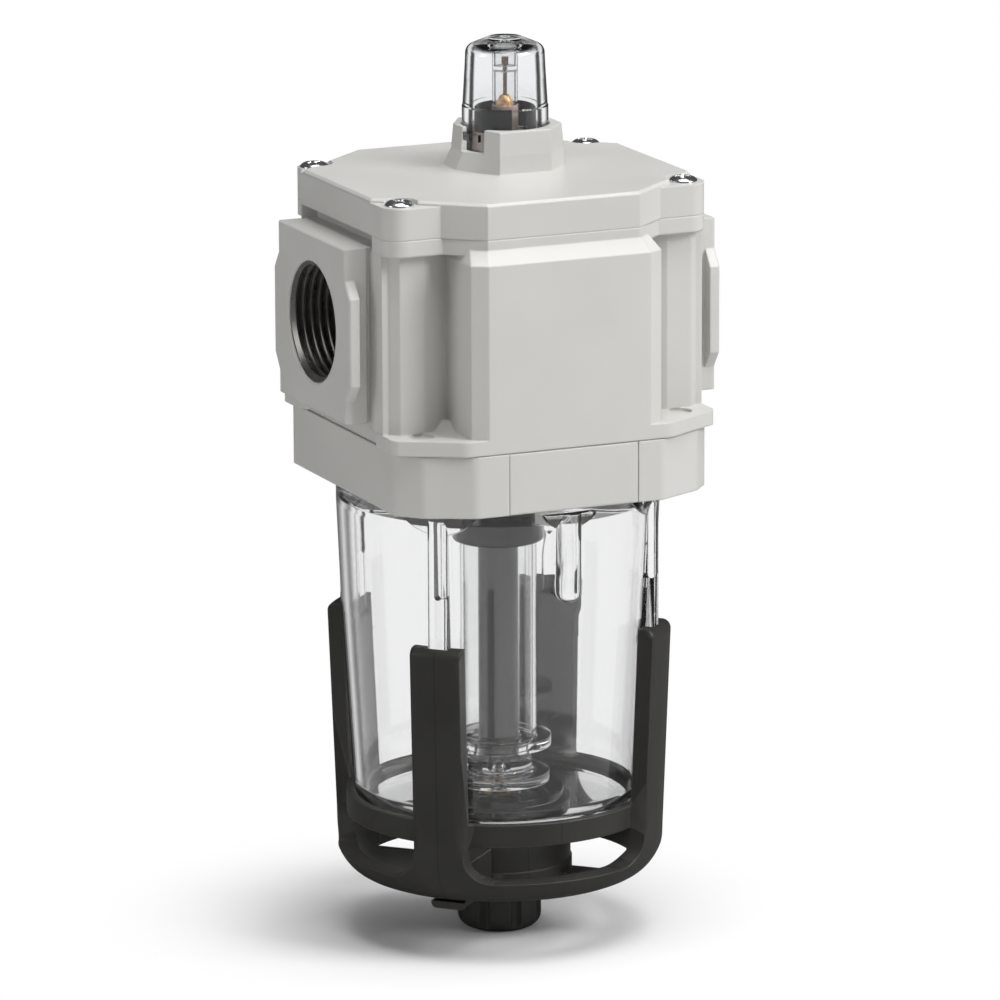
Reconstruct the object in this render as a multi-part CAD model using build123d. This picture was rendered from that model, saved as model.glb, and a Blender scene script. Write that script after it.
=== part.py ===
from build123d import *
import os
from math import cos, radians, sin

# An air line lubricator, in millimetres. The origin is the centre of the drain knob's underside,
# +Z is up, +X is the way the air flows, and the raised front pad faces -Y. Heights are built up
# from the knob to the dome: each Z is another piece's Z and a length.

# Running and assembly gaps
FIT = 0.06
SEAT_GAP = 0.3
FACE_GAP = 0.05
SCREW_FIT = 0.05
BALL_FIT = 0.1
KNOB_GAP = 0.4
BODY_GAP = 0.2

# Overall plan: the front and side faces of the body, from the axis
HALF_DEPTH = 48.5
HALF_WIDTH = 47.5
COVER_HALF_DEPTH = HALF_DEPTH - 3.9
EAR_HALF_WIDTH = HALF_WIDTH - 0.2

# Knob
KNOB_R = 11.6
KNOB_TOP_Z = 15.5
KNOB_LOBES = 8
KNOB_SCALLOP_R = 1.7
KNOB_SCALLOP_DEEP = 1.3
KNOB_EDGE_R = 3.6
SPIGOT_R = 5.0
SPIGOT_TOP_Z = KNOB_TOP_Z + 8.5

# Bowl: radii of its neck and of the wall at three heights, ribs and the bulges under the collar
GUARD_Z = KNOB_TOP_Z + KNOB_GAP
BOWL_Z = GUARD_Z + 19.1
BOWL_FLOOR = 2.8
BOWL_FLOOR_Z = BOWL_Z + BOWL_FLOOR
BOWL_HEIGHT = 113.2
BOWL_TOP_Z = BOWL_Z + BOWL_HEIGHT
BOWL_NECK_HEIGHT = 20.3
BOWL_SHOULDER_Z = BOWL_TOP_Z - BOWL_NECK_HEIGHT
BOWL_NECK_R = HALF_DEPTH - 6.7
BOWL_NECK_WALL = 2.8
BOWL_WALL = 2.5
BOWL_FOOT_R = BOWL_NECK_R - 1.5
BOWL_MIDDLE_R = BOWL_NECK_R + 1.3
BOWL_HEAD_R = BOWL_NECK_R + 2.6
BOWL_OUTLINE = [(BOWL_FOOT_R, BOWL_Z + 8.0), (BOWL_MIDDLE_R, BOWL_Z + 56.0),
                (BOWL_HEAD_R, BOWL_SHOULDER_Z - 5.9)]
BOWL_CORNER_R = 7.0
BOWL_INNER_CORNER_R = 4.8
BOWL_EDGE_R = 0.6
BOWL_BEND_R = 6.0
LUG_R = BOWL_NECK_R + 1.6
LUG_Z = (BOWL_TOP_Z - 1.7, BOWL_TOP_Z)
LUG_HALF_ANGLE = 11
LUG_TURN = 45
RIB_R = BOWL_MIDDLE_R + 3.1
RIB_WIDTH = 5.6
RIB_ANGLE = 45
RIB_TIP_R = 1.2
RIB_Z = (BOWL_Z + 49.5, BOWL_SHOULDER_Z - 2.9)
RIB_POCKET_WIDTH = 2.2
RIB_POCKET_Z = (BOWL_SHOULDER_Z - 25.4, BOWL_SHOULDER_Z - 3.9)
RIB_POCKET_WALL = 1.7
FLARE_R = BOWL_HEAD_R + 2.6
FLARE_LIP = 1.0
FLARE_Z = BOWL_SHOULDER_Z - 7.5
FLARE_HALF_WIDTH = 12.0
BOSS_R = 8.5
BOSS_Z = GUARD_Z + 0.7

# Collar and its lock button
COLLAR_Z = BOWL_SHOULDER_Z + SEAT_GAP
COLLAR_HEIGHT = 16.8
COLLAR_TOP_Z = COLLAR_Z + COLLAR_HEIGHT
COLLAR_QUARTER = [(0, HALF_DEPTH), (27.5, HALF_DEPTH), (HALF_WIDTH - 7.1, HALF_DEPTH - 6.4),
                  (HALF_WIDTH - 1.5, HALF_DEPTH - 12.6), (HALF_WIDTH - 1.5, 0)]
COLLAR_CORNER_R = 5.0
LOCK_X = 1.0
BUTTON_HALF_WIDTH = 19.0
BUTTON_BACK_Y = 3.6 - HALF_DEPTH
BUTTON_RAIL = 1.5
BUTTON_RAIL_Y = (1.5 - HALF_DEPTH, 2.9 - HALF_DEPTH)
BUTTON_TRAVEL = 1.5
BUTTON_EDGE = 0.25
TONGUE_HALF_WIDTH = 6.0
TONGUE_Y = (1.3 - HALF_DEPTH, 3.2 - HALF_DEPTH)
TONGUE_TOP_Z = COLLAR_TOP_Z + 1.4
TONGUE_SWEEP = (-98, -80)
SHELF_HALF_WIDTH = 2.2
SHELF_Z = (COLLAR_Z + 3.4, COLLAR_Z + 4.8)
SHELF_DEEP = 1.2
SPRING_TOP_Z = COLLAR_Z + 12.8
SPRING_R = 1.0
SPRING_WIRE_R = 0.22
SPRING_PITCH = 1.45
SPRING_Y = 2.3 - HALF_DEPTH
PILLAR_R = 3.5
PILLAR_Y = -(BOWL_HEAD_R + 0.4)
PILLAR_Z = COLLAR_Z - 26.7
PILLAR_FLARE_Z = COLLAR_Z - 6.6
PILLAR_FLARE_HALF_WIDTH = 7.6

# Guard
GUARD_FLOOR_Z = GUARD_Z + 3.9
GUARD_HEIGHT = 73.5
GUARD_POST_TOP_Z = GUARD_Z + GUARD_HEIGHT
GUARD_OUTLINE = [(RIB_R - 13.2, GUARD_Z), (RIB_R - 6.6, GUARD_Z + 1.7), (RIB_R - 2.7, GUARD_Z + 5.5),
                 (RIB_R - 0.5, GUARD_Z + 11.1), (RIB_R, GUARD_Z + 17.1), (RIB_R + 2.3, GUARD_POST_TOP_Z)]
GUARD_THICKNESS = 4.4
GUARD_TOP_ROUND = 2.4
GUARD_FLOOR_R = RIB_R - 9.7
GUARD_INNER_ROUND = 6.0
POST_WIDTH = 14.3
WINDOW_Z = GUARD_Z + 7.7
WINDOW_CORNER_R = 7.5
WINDOW_REACH = 15.8
GUARD_HUB_R = 19.8
BAND_R = BOWL_FOOT_R + 1.9
BAND_WALL = 3.8
BAND_Z = (BOWL_Z - 1.6, BOWL_Z + 4.6)
GUARD_LUG = ((7.6 - RIB_R, 16.2 - RIB_R), (-5.0, 5.0), GUARD_Z - 1.5)
GUARD_LUG_ROUND = 1.6

# Heights of the body and the cover
BODY_Z = COLLAR_TOP_Z + BODY_GAP
BODY_HEIGHT = 57.5
BODY_TOP_Z = BODY_Z + BODY_HEIGHT
FLANGE_TOP_Z = BODY_Z + 4.1
EAR_Z = BODY_TOP_Z - 4.4
PAD_TOP_Z = BODY_TOP_Z - 2.7
PAD_BEVEL_Z = PAD_TOP_Z - 3.5
COVER_EAR_TOP_Z = BODY_TOP_Z + 8.7
COVER_TOP_Z = COVER_EAR_TOP_Z + 1.1
SOCKET_ROOF_Z = BOWL_TOP_Z + 0.8
DOME_ROOF_R = BOWL_NECK_R - 3.3
DOME_ROOF_Z = SOCKET_ROOF_Z + 7.0

# Pipework: one inch parallel pipe threads, left plain at their major diameter
PORT_FACE_X = HALF_WIDTH + 7.2
PORT_AXIS_Z = BODY_Z + 30.0
THREAD_R = 16.62
THREAD_MOUTH_R = 17.0
THREAD_DEPTH = 19.0
PASSAGE_R = 12.0

# Port blocks: a neck and a plate that is wider beside the bore
NECK_HALF_WIDTH = 23.2
NECK_HALF_HEIGHT = 23.9
NECK_ROOT = 6.0
PORT_PLATE = 3.0
PORT_EDGE = 0.4
PORT_WIDE_HALF_WIDTH = 26.4
PORT_WIDE_HALF_HEIGHT = 11.9
PORT_WIDE_DROP = 1.1
PORT_JOG = 4.6
NECK_GROOVE = 1.1
NECK_GROOVE_DEPTH = 0.9

# Plan outlines, one quarter each, from the front middle round to the side middle
COLUMN_SIDE_X = HALF_WIDTH - 2.0
EAR_ROOT = (HALF_WIDTH - 4.5, NECK_HALF_WIDTH)
PAD_QUARTER = [(0, HALF_DEPTH), (23.7, HALF_DEPTH), (27.9, HALF_DEPTH - 2.5), (27.9, 0)]
PAD_CROWN_QUARTER = [(0, COVER_HALF_DEPTH), (22.3, COVER_HALF_DEPTH), (26.2, COVER_HALF_DEPTH - 3.3), (26.2, 0)]
COLUMN_QUARTER = [(0, 30), (27.9, 29.4), (35.7, 33.0), (HALF_WIDTH - 4.6, 33.0), (HALF_WIDTH - 2.2, 30.7),
                  (HALF_WIDTH - 0.3, 30.7), (HALF_WIDTH - 0.3, NECK_HALF_WIDTH),
                  (COLUMN_SIDE_X, NECK_HALF_WIDTH), (COLUMN_SIDE_X, 0)]
COLUMN_BACK_QUARTER = [(0, 30), (27.9, 29.4), (35.7, 33.0), (HALF_WIDTH - 5.1, 33.0), (COLUMN_SIDE_X, 26.6),
                       (COLUMN_SIDE_X, 0)]
FLANGE_TIP = (HALF_WIDTH, HALF_DEPTH - 10.0)
FLANGE_SHOULDER = (30.0, HALF_DEPTH)
FLANGE_QUARTER = [(0, HALF_DEPTH), FLANGE_SHOULDER, FLANGE_TIP, (HALF_WIDTH, 27.0), (COLUMN_SIDE_X, 24.0),
                  (COLUMN_SIDE_X, 0)]
FLANGE_ROUNDS = {FLANGE_TIP: 3.0, FLANGE_SHOULDER: 6.0}
EAR_CORNER = (EAR_HALF_WIDTH, COVER_HALF_DEPTH - 8.5)
EAR_BACK_CORNER = (EAR_HALF_WIDTH - 2.1, COVER_HALF_DEPTH - 9.0)
EAR_ROUNDS = {EAR_CORNER: 5.6, EAR_BACK_CORNER: 4.2}
EAR_FRONT = [(0, COVER_HALF_DEPTH), (22.3, COVER_HALF_DEPTH), (31.6, EAR_CORNER[1]), EAR_CORNER]
EAR_BACK = [(0, COVER_HALF_DEPTH), (22.3, COVER_HALF_DEPTH), (32.2, EAR_BACK_CORNER[1]), EAR_BACK_CORNER,
            (EAR_BACK_CORNER[0], 29.4), (EAR_HALF_WIDTH, 24.6)]
EAR_QUARTER = EAR_FRONT + [(EAR_HALF_WIDTH, 24.6), EAR_ROOT, (EAR_ROOT[0], 0)]
EAR_BACK_QUARTER = EAR_BACK + [EAR_ROOT, (EAR_ROOT[0], 0)]
COVER_QUARTER = EAR_FRONT + [(EAR_HALF_WIDTH, 0)]
COVER_BACK_QUARTER = EAR_BACK + [(EAR_HALF_WIDTH, 0)]
PLATEAU_QUARTER = [(0, COVER_HALF_DEPTH), (22.3, COVER_HALF_DEPTH), (EAR_HALF_WIDTH - 0.1, 23.2),
                   (EAR_HALF_WIDTH - 0.1, 0)]
PLATEAU_EDGE = 0.7
FOOT_R = HALF_WIDTH - 2.5
FOOT_TOP_R = HALF_WIDTH - 5.2
FOOT_TOP_Z = FLANGE_TOP_Z + 2.5

# Fixings
SCREW_X = EAR_HALF_WIDTH - 5.6
SCREWS = [(-SCREW_X, 5.9 - EAR_CORNER[1]), (SCREW_X, 5.9 - EAR_CORNER[1]),
          (1.0 - SCREW_X, EAR_BACK_CORNER[1] - 4.6), (SCREW_X - 1.0, EAR_BACK_CORNER[1] - 4.6)]
SCREW_R = 2.0
SCREW_END_Z = BODY_TOP_Z - 14.7
SCREW_HEAD_R = 4.0
SCREW_HEAD_H = 1.7
SCREW_HEAD_ROUND = 1.0
SCREW_SPOT_R = SCREW_HEAD_R + 1.0
SCREW_SLOT = (4.6, 0.9, 1.0)
EAR_DIMPLE_X = HALF_WIDTH - 9.5
EAR_DIMPLE_Y = HALF_DEPTH - 12.5
EAR_DIMPLE_R = 3.4
EAR_DIMPLE = 0.8
GASKET = 0.8
GASKET_HALF = (38.0, 31.0)
GASKET_EDGE = 3.5

# Turret on the cover, over the sight dome's axis
DOME_X = 5.7
DOME_Y = 7.0
TURRET = [(-8.2, -14.6), (7.4, -14.6), (14.6, -6.4), (14.6, 6.4), (7.4, 14.6), (-7.8, 14.6), (-13.9, 5.0),
          (-13.9, -3.2)]
TURRET_FOOT_LEFT = [(-16.2, 6.6), (-16.2, -2.4)]
TURRET_TOP_Z = COVER_TOP_Z + 11.5
TURRET_TAPER = 0.96
TURRET_REACH = 22.0
NOTCH_Z = TURRET_TOP_Z - 6.4
NOTCHES = [(186, 222), (94, 122)]

# Sight dome and what stands in it
DOME_R = 11.8
DOME_TOP_R = DOME_R - 0.85
DOME_WALL = 2.2
DOME_FLOOR_Z = TURRET_TOP_Z - 7.7
DOME_SEAL_H = 1.4
DOME_Z = DOME_FLOOR_Z + DOME_SEAL_H
DOME_HEIGHT = 30.1
DOME_TOP_Z = DOME_Z + DOME_HEIGHT
DOME_BAND_Z = DOME_Z + 11.3
DOME_SHOULDER_Z = DOME_TOP_Z - 7.3
DOME_CROWN_Z = DOME_TOP_Z - 2.6
DOME_CROWN_R = 4.5
DOME_DIMPLE_R = 1.6
DOME_DIMPLE_RISE = 0.6
DOME_STEP = 0.2
DOME_STEP_H = 0.4
DOME_EDGE_R = 2.6
DOME_HOLLOW = [(DOME_CROWN_R - 0.5, DOME_TOP_Z - DOME_WALL), (DOME_TOP_R - DOME_WALL, DOME_CROWN_Z - 1.0),
               (DOME_R - DOME_WALL - 0.5, DOME_SHOULDER_Z - 4.0)]
DOME_INNER_EDGE_R = 1.2
DOME_LUG_R = DOME_R + 1.2
DOME_LUG_Z = (TURRET_TOP_Z - 3.6, TURRET_TOP_Z - 1.6)
DOME_LUG_ANGLES = [(196, 212), (76, 92)]
INSERT_R = DOME_R - DOME_WALL - SEAT_GAP
INSERT_Z = DOME_FLOOR_Z - 7.3
INSERT_TOP_Z = DOME_FLOOR_Z + 6.1
INSERT_POST_R = 3.6
BLACK_RING_R = INSERT_R - 0.9
BLACK_RING_WALL = 1.5
BLACK_RING_TOP_Z = INSERT_TOP_Z + 6.7
BLACK_RING_SLOT = 3.0
BLACK_RING_SLOT_Z = INSERT_TOP_Z + 1.2
BLACK_RING_SLOT_ANGLE = -63
DRIP_WAY_X = DOME_X + (INSERT_POST_R + BLACK_RING_R) / 2
SEAT_R = 2.3
SEAT_Z = INSERT_TOP_Z + 2.1
SEAT_TOP_Z = SEAT_Z + 8.5
SEAT_TIP_R = 1.6
SEAT_TIP_H = 1.4
SEAT_FLOOR = 1.0
NEEDLE_R = 0.55
NEEDLE_Z = SEAT_Z + 2.0
NEEDLE_TOP_Z = DOME_TOP_Z - 5.3
NEEDLE_HEAD_R = 0.95
NEEDLE_HEAD_H = 2.2
DRIP_TUBE_R = 3.5
DRIP_TUBE_WALL = 0.75
DRIP_TUBE_TOP_Z = DOME_TOP_Z - DOME_WALL - FACE_GAP
DRIP_TUBE_CAP = 0.7
DRIP_TUBE_WEB = (NEEDLE_TOP_Z - 4.0, NEEDLE_TOP_Z - 2.6)

# Drain valve
STEM_R = 3.0
STEM_Z = SPIGOT_TOP_Z - 6.0
STEM_HEAD_R = 6.0
STEM_HEAD_H = 1.0
STEM_LIFT = 0.8
STEM_WAY_R = 1.2
STEM_CROSS_R = 0.8
STEM_CROSS_DROP = 1.2
OUTLET_R = 1.6
DRAIN_SEAT_R = 17.9
DRAIN_SEAT_TOP_Z = BOWL_FLOOR_Z + 2.0
DRAIN_RING_R = 4.6
DRAIN_RING_SECTION = 0.6

# Oil pick-up
HUB_R = 12.5
HUB_NECK_R = 10.0
HUB_Z = BOWL_SHOULDER_Z - 17.9
HUB_STEP_Z = HUB_Z + 8.0
HUB_BEVEL = 2.0
HUB_EDGE_R = 1.0
HUB_SPIGOT_R = 6.0
HUB_TOP_Z = DOME_ROOF_Z + 1.2
OIL_CHAMBER_Z = DOME_ROOF_Z + 4.0
TUBE_R = 5.5
TUBE_BORE_R = 3.6
TUBE_TOP_Z = HUB_Z + 4.0
SLEEVE_R = 10.5
SLEEVE_WALL = 1.1
SLEEVE_TOP_Z = HUB_Z + 2.0
FOOT_DISC_R = 14.5
FOOT_LOW_DISC_R = 14.0
FOOT_NECK_R = 9.2
FOOT_NECK_ROUND = 1.5
FOOT_DISC = 2.8
FOOT_LOW_Z = DRAIN_SEAT_TOP_Z + STEM_HEAD_H + STEM_LIFT + SEAT_GAP
FOOT_DISC_TOP_Z = FOOT_LOW_Z + 12.9
TUBE_Z = FOOT_DISC_TOP_Z - 3.8
BALL_R = 2.0
BALL_HOLE_R = 1.5
BALL_SEAT_Z = FOOT_LOW_Z + 2.1
BALL_LIFT = 2.0
OIL_WAY_R = 1.75
OIL_WAY_Y = 17.0
OIL_WAY_DROP = 2.0

# Flow guide in the main passage, with its hanging vane
GUIDE_LENGTH = 9.0
GUIDE_OPENING_R = 7.2
GUIDE_OPENING_Z = PORT_AXIS_Z - 0.6
VANE_R = GUIDE_OPENING_R + 0.7
VANE = 1.2
VANE_GAP = 0.15
PIN_R = 0.8
PIN_X = 1.9
PIN_Z = PORT_AXIS_Z + 9.0
PIN_HALF = 6.4
BARREL_R = 1.6
BARREL_HALF = 3.2
CHEEK_Y = (BARREL_HALF + 0.15, 6.6)


def mirrored(front, back=None):
    """All four quarters of a plan outline from a front one and, where it differs, a back one."""
    half = list(back or front) + [(x, -y) for x, y in reversed(front) if y != 0]
    return half + [(-x, y) for x, y in reversed(half) if x != 0]


def outline(points, rounds=None):
    """A flat face from a list of points, with some corners rounded by their place."""
    face = make_face(Polyline(*points, close=True))
    for place, radius in (rounds or {}).items():
        corners = [v for v in face.vertices()
                   if abs(abs(v.X) - place[0]) < 0.01 and abs(abs(v.Y) - place[1]) < 0.01]
        face = fillet(corners, radius)
    return face


def plate(points, z0, z1, rounds=None):
    """An upright prism on a plan outline."""
    return extrude(Pos(0, 0, z0) * outline(points, rounds), z1 - z0)


def disc(radius, z0, z1, x=0.0, y=0.0):
    """An upright cylinder from z0 to z1."""
    return Pos(x, y, z0) * Cylinder(radius, z1 - z0, align=(Align.CENTER, Align.CENTER, Align.MIN))


def ring(outer, inner, z0, z1, x=0.0, y=0.0):
    """An upright ring from z0 to z1."""
    return disc(outer, z0, z1, x, y) - disc(inner, z0, z1, x, y)


def block(xs, ys, zs):
    """A box between two limits on each axis."""
    size = [b - a for a, b in (xs, ys, zs)]
    middle = [(a + b) / 2 for a, b in (xs, ys, zs)]
    return Pos(*middle) * Box(*size)


def turned(points, rounds=None):
    """A solid of revolution about Z from (radius, height) points, with some corners rounded."""
    face = make_face(Polyline(*points, close=True))
    for place, radius in (rounds or {}).items():
        corners = [v for v in face.vertices()
                   if abs(v.X - place[0]) < 0.01 and abs(v.Y - place[1]) < 0.01]
        face = fillet(corners, radius)
    return revolve(Plane.XZ * face, Axis.Z)


def along_x(radius, x0, x1, z=PORT_AXIS_Z, y=0.0):
    """A cylinder that lies along X."""
    return Pos((x0 + x1) / 2, y, z) * Rot(0, 90, 0) * Cylinder(radius, x1 - x0)


def along_y(radius, y0, y1, x, z):
    """A cylinder that lies along Y."""
    return Pos(x, (y0 + y1) / 2, z) * Rot(90, 0, 0) * Cylinder(radius, y1 - y0)


def sector(outer, inner, z0, z1, a0, a1, x=0.0, y=0.0):
    """A part of a ring between two angles from +X, in degrees."""
    middle = radians((a0 + a1) / 2)
    half = radians((a1 - a0) / 2)
    far = outer * 1.6
    edge = far / cos(half)
    wedge = [(0, 0), (edge * cos(middle - half), edge * sin(middle - half)),
             (edge * cos(middle + half), edge * sin(middle + half))]
    return ring(outer, inner, z0, z1, x, y) & Pos(x, y, z0) * extrude(outline(wedge), z1 - z0)


def quarters(first=0):
    """Four angles a quarter turn apart, in degrees."""
    return [first + 90 * number for number in range(4)]


def corners_of(x, y):
    """The four places at plus and minus x and y."""
    return [(sx * x, sy * y) for sx in (-1, 1) for sy in (-1, 1)]


def o_ring(middle_r, section_r, z, x=0.0, y=0.0):
    """A round-section ring."""
    return Pos(x, y, z) * Torus(middle_r, section_r)


def port_block(side):
    """One port's neck and plate, without its bore; side is 1 for the outlet and -1 for the inlet."""
    plate_x = PORT_FACE_X - PORT_PLATE
    top = PORT_AXIS_Z + NECK_HALF_HEIGHT
    bottom = PORT_AXIS_Z - NECK_HALF_HEIGHT
    wide_z = PORT_AXIS_Z - PORT_WIDE_DROP
    low = wide_z - PORT_WIDE_HALF_HEIGHT
    high = wide_z + PORT_WIDE_HALF_HEIGHT
    half = [(NECK_HALF_WIDTH, bottom), (NECK_HALF_WIDTH, low - PORT_JOG), (PORT_WIDE_HALF_WIDTH, low),
            (PORT_WIDE_HALF_WIDTH, high), (NECK_HALF_WIDTH, high + PORT_JOG), (NECK_HALF_WIDTH, top)]
    face = make_face(Polyline(*(half + [(-y, z) for y, z in reversed(half)]), close=True))
    wide = extrude(Plane.YZ.offset(plate_x) * face, PORT_PLATE)
    outer_edges = [e for e in wide.edges() if abs(e.center().X - PORT_FACE_X) < 0.01]
    wide = chamfer(outer_edges, PORT_EDGE)
    neck = block((EAR_QUARTER[-1][0] - 4.0, plate_x), (-NECK_HALF_WIDTH, NECK_HALF_WIDTH), (bottom, top))
    wall = COLUMN_QUARTER[4][0]
    groove_x = (COLUMN_QUARTER[5][0], COLUMN_QUARTER[5][0] + NECK_GROOVE)
    for hand in (-1, 1):
        inner = NECK_HALF_WIDTH - NECK_GROOVE_DEPTH
        ys = sorted((hand * inner, hand * (NECK_HALF_WIDTH + 1)))
        neck -= block(groove_x, ys, (bottom - 1, top + 1))
    whole = neck + wide + block((wall - NECK_ROOT, wall), (-inner, inner), (bottom, top))
    return whole if side > 0 else whole.mirror(Plane.YZ)


def body():
    """The cast body: column, pads, flange with ears, port blocks, and all its bores."""
    column = plate(mirrored(COLUMN_QUARTER, COLUMN_BACK_QUARTER), FLANGE_TOP_Z, EAR_Z)
    pads = plate(mirrored(PAD_QUARTER), FLANGE_TOP_Z, PAD_BEVEL_Z)
    crown = loft([Pos(0, 0, PAD_BEVEL_Z) * outline(mirrored(PAD_QUARTER)),
                  Pos(0, 0, PAD_TOP_Z) * outline(mirrored(PAD_CROWN_QUARTER))])
    ears = plate(mirrored(EAR_QUARTER, EAR_BACK_QUARTER), EAR_Z, BODY_TOP_Z, EAR_ROUNDS)
    flange = plate(mirrored(FLANGE_QUARTER), BODY_Z, FLANGE_TOP_Z, FLANGE_ROUNDS)
    foot = turned([(0, FLANGE_TOP_Z), (FOOT_R, FLANGE_TOP_Z), (FOOT_TOP_R, FOOT_TOP_Z), (0, FOOT_TOP_Z)])
    foot &= plate(mirrored(COLLAR_QUARTER), FLANGE_TOP_Z, FOOT_TOP_Z)
    whole = column + pads + crown + ears + flange + foot + port_block(1) + port_block(-1)

    # pipe threads, their mouths and the passage between them
    for hand in (-1, 1):
        ends = sorted((hand * PORT_FACE_X, hand * (PORT_FACE_X - THREAD_DEPTH)))
        whole -= along_x(THREAD_R, *ends)
        mouth = THREAD_MOUTH_R - THREAD_R
        cone = Pos(hand * (PORT_FACE_X - mouth / 2), 0, PORT_AXIS_Z) * Rot(0, 90 * hand, 0)
        whole -= cone * Cone(THREAD_R, THREAD_MOUTH_R, mouth)
    whole -= along_x(PASSAGE_R, THREAD_DEPTH - PORT_FACE_X, PORT_FACE_X - THREAD_DEPTH)

    # bowl socket with its lip, bayonet groove and entries, and the roof over the bowl
    socket_r = BOWL_NECK_R + SEAT_GAP
    groove_r = LUG_R + SEAT_GAP
    whole -= disc(socket_r, BODY_Z, SOCKET_ROOF_Z)
    whole -= disc(DOME_ROOF_R, BODY_Z, DOME_ROOF_Z)
    whole -= disc(groove_r, LUG_Z[0] - FACE_GAP, LUG_Z[1] + FACE_GAP)
    half = LUG_HALF_ANGLE + 1
    for way_in in quarters():
        whole -= sector(groove_r, BOWL_NECK_R, BODY_Z, LUG_Z[1], way_in - half, way_in + half)

    # arc that the lock button's tongue runs in
    tongue_r = ((LOCK_X + TONGUE_HALF_WIDTH) ** 2 + TONGUE_Y[0] ** 2) ** 0.5 + SEAT_GAP
    whole -= sector(tongue_r, -TONGUE_Y[1] - SEAT_GAP, BODY_Z, TONGUE_TOP_Z + SEAT_GAP,
                    TONGUE_SWEEP[0], TONGUE_SWEEP[1] + LUG_TURN)

    # oil way up from the pick-up hub, and the drip way down into the passage
    whole -= disc(HUB_SPIGOT_R + FIT, DOME_ROOF_Z, OIL_CHAMBER_Z)
    way_z = OIL_CHAMBER_Z - OIL_WAY_DROP
    whole -= along_y(OIL_WAY_R, 0, OIL_WAY_Y, 0, way_z)
    whole -= disc(OIL_WAY_R, way_z, BODY_TOP_Z, 0, OIL_WAY_Y)
    whole -= disc(OIL_WAY_R, PORT_AXIS_Z, BODY_TOP_Z, DRIP_WAY_X, DOME_Y)

    # gasket recess, cover screw holes and the dimples in the bottom ears
    whole -= block((-GASKET_HALF[0], GASKET_HALF[0]), (-GASKET_HALF[1], GASKET_HALF[1]),
                   (BODY_TOP_Z - GASKET, BODY_TOP_Z)) - gasket_island()
    for x, y in SCREWS:
        whole -= disc(SCREW_R + SCREW_FIT, SCREW_END_Z - 1, BODY_TOP_Z, x, y)
    for x, y in corners_of(EAR_DIMPLE_X, EAR_DIMPLE_Y):
        whole -= disc(EAR_DIMPLE_R, FLANGE_TOP_Z - EAR_DIMPLE, FLANGE_TOP_Z, x, y)
    return whole


def gasket_island():
    """The part of the body's top face that stands inside the gasket."""
    half_x = GASKET_HALF[0] - GASKET_EDGE
    half_y = GASKET_HALF[1] - GASKET_EDGE
    return block((-half_x, half_x), (-half_y, half_y), (BODY_TOP_Z - GASKET, BODY_TOP_Z))


def cover_gasket():
    """A flat frame that lies in the recess on top of the body."""
    gap = FACE_GAP
    outer = block((gap - GASKET_HALF[0], GASKET_HALF[0] - gap), (gap - GASKET_HALF[1], GASKET_HALF[1] - gap),
                  (BODY_TOP_Z - GASKET, BODY_TOP_Z))
    half_x = GASKET_HALF[0] - GASKET_EDGE + gap
    half_y = GASKET_HALF[1] - GASKET_EDGE + gap
    return outer - block((-half_x, half_x), (-half_y, half_y), (BODY_TOP_Z - GASKET, BODY_TOP_Z))


def turret_face(points, z, size=1.0):
    """The turret's outline about the dome's axis, at one height and size."""
    return Pos(DOME_X, DOME_Y, z) * outline([(x * size, y * size) for x, y in points])


def top_cover():
    """The cover plate with screw ears, raised plateau and the notched octagonal turret."""
    slab = plate(mirrored(COVER_QUARTER, COVER_BACK_QUARTER), BODY_TOP_Z, COVER_EAR_TOP_Z, EAR_ROUNDS)
    plateau = plate(mirrored(PLATEAU_QUARTER), BODY_TOP_Z, COVER_TOP_Z)
    rim = [e for e in plateau.edges() if abs(e.center().Z - COVER_TOP_Z) < 0.01]
    plateau = chamfer(rim, PLATEAU_EDGE)
    for x, y in SCREWS:
        plateau -= disc(SCREW_SPOT_R, COVER_EAR_TOP_Z, COVER_TOP_Z, x, y)
    low = loft([turret_face(TURRET[:6] + TURRET_FOOT_LEFT, COVER_EAR_TOP_Z), turret_face(TURRET, NOTCH_Z)])
    high = loft([turret_face(TURRET, NOTCH_Z), turret_face(TURRET, TURRET_TOP_Z, TURRET_TAPER)])
    whole = slab + plateau + low + high

    # dome bore, its bayonet groove and the notches that let the lugs in
    bore_r = DOME_R + SEAT_GAP
    whole -= disc(bore_r, DOME_FLOOR_Z, TURRET_TOP_Z, DOME_X, DOME_Y)
    whole -= disc(DOME_LUG_R + SEAT_GAP, DOME_LUG_Z[0] - SEAT_GAP, DOME_LUG_Z[1] + SEAT_GAP, DOME_X, DOME_Y)
    for a0, a1 in NOTCHES:
        whole -= sector(TURRET_REACH, bore_r - 1, NOTCH_Z, TURRET_TOP_Z, a0, a1, DOME_X, DOME_Y)

    # seat of the taupe insert, and the oil and drip ways under it
    whole -= disc(INSERT_R + FIT, INSERT_Z, DOME_FLOOR_Z, DOME_X, DOME_Y)
    whole -= disc(OIL_WAY_R, BODY_TOP_Z, INSERT_Z, DRIP_WAY_X, DOME_Y)
    whole -= disc(OIL_WAY_R, BODY_TOP_Z, INSERT_Z, DOME_X, DOME_Y)
    oil_way = (Vector(DOME_X, DOME_Y, 0) - Vector(0, OIL_WAY_Y, 0))
    way_z = BODY_TOP_Z + 2 * OIL_WAY_R
    start = Plane(origin=(0, OIL_WAY_Y, way_z), z_dir=oil_way)
    whole -= start * Cylinder(OIL_WAY_R, oil_way.length, align=(Align.CENTER, Align.CENTER, Align.MIN))
    whole -= disc(OIL_WAY_R, BODY_TOP_Z, way_z, 0, OIL_WAY_Y)
    for x, y in SCREWS:
        whole -= disc(SCREW_R + SCREW_FIT, BODY_TOP_Z, COVER_EAR_TOP_Z, x, y)
    return whole


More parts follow.
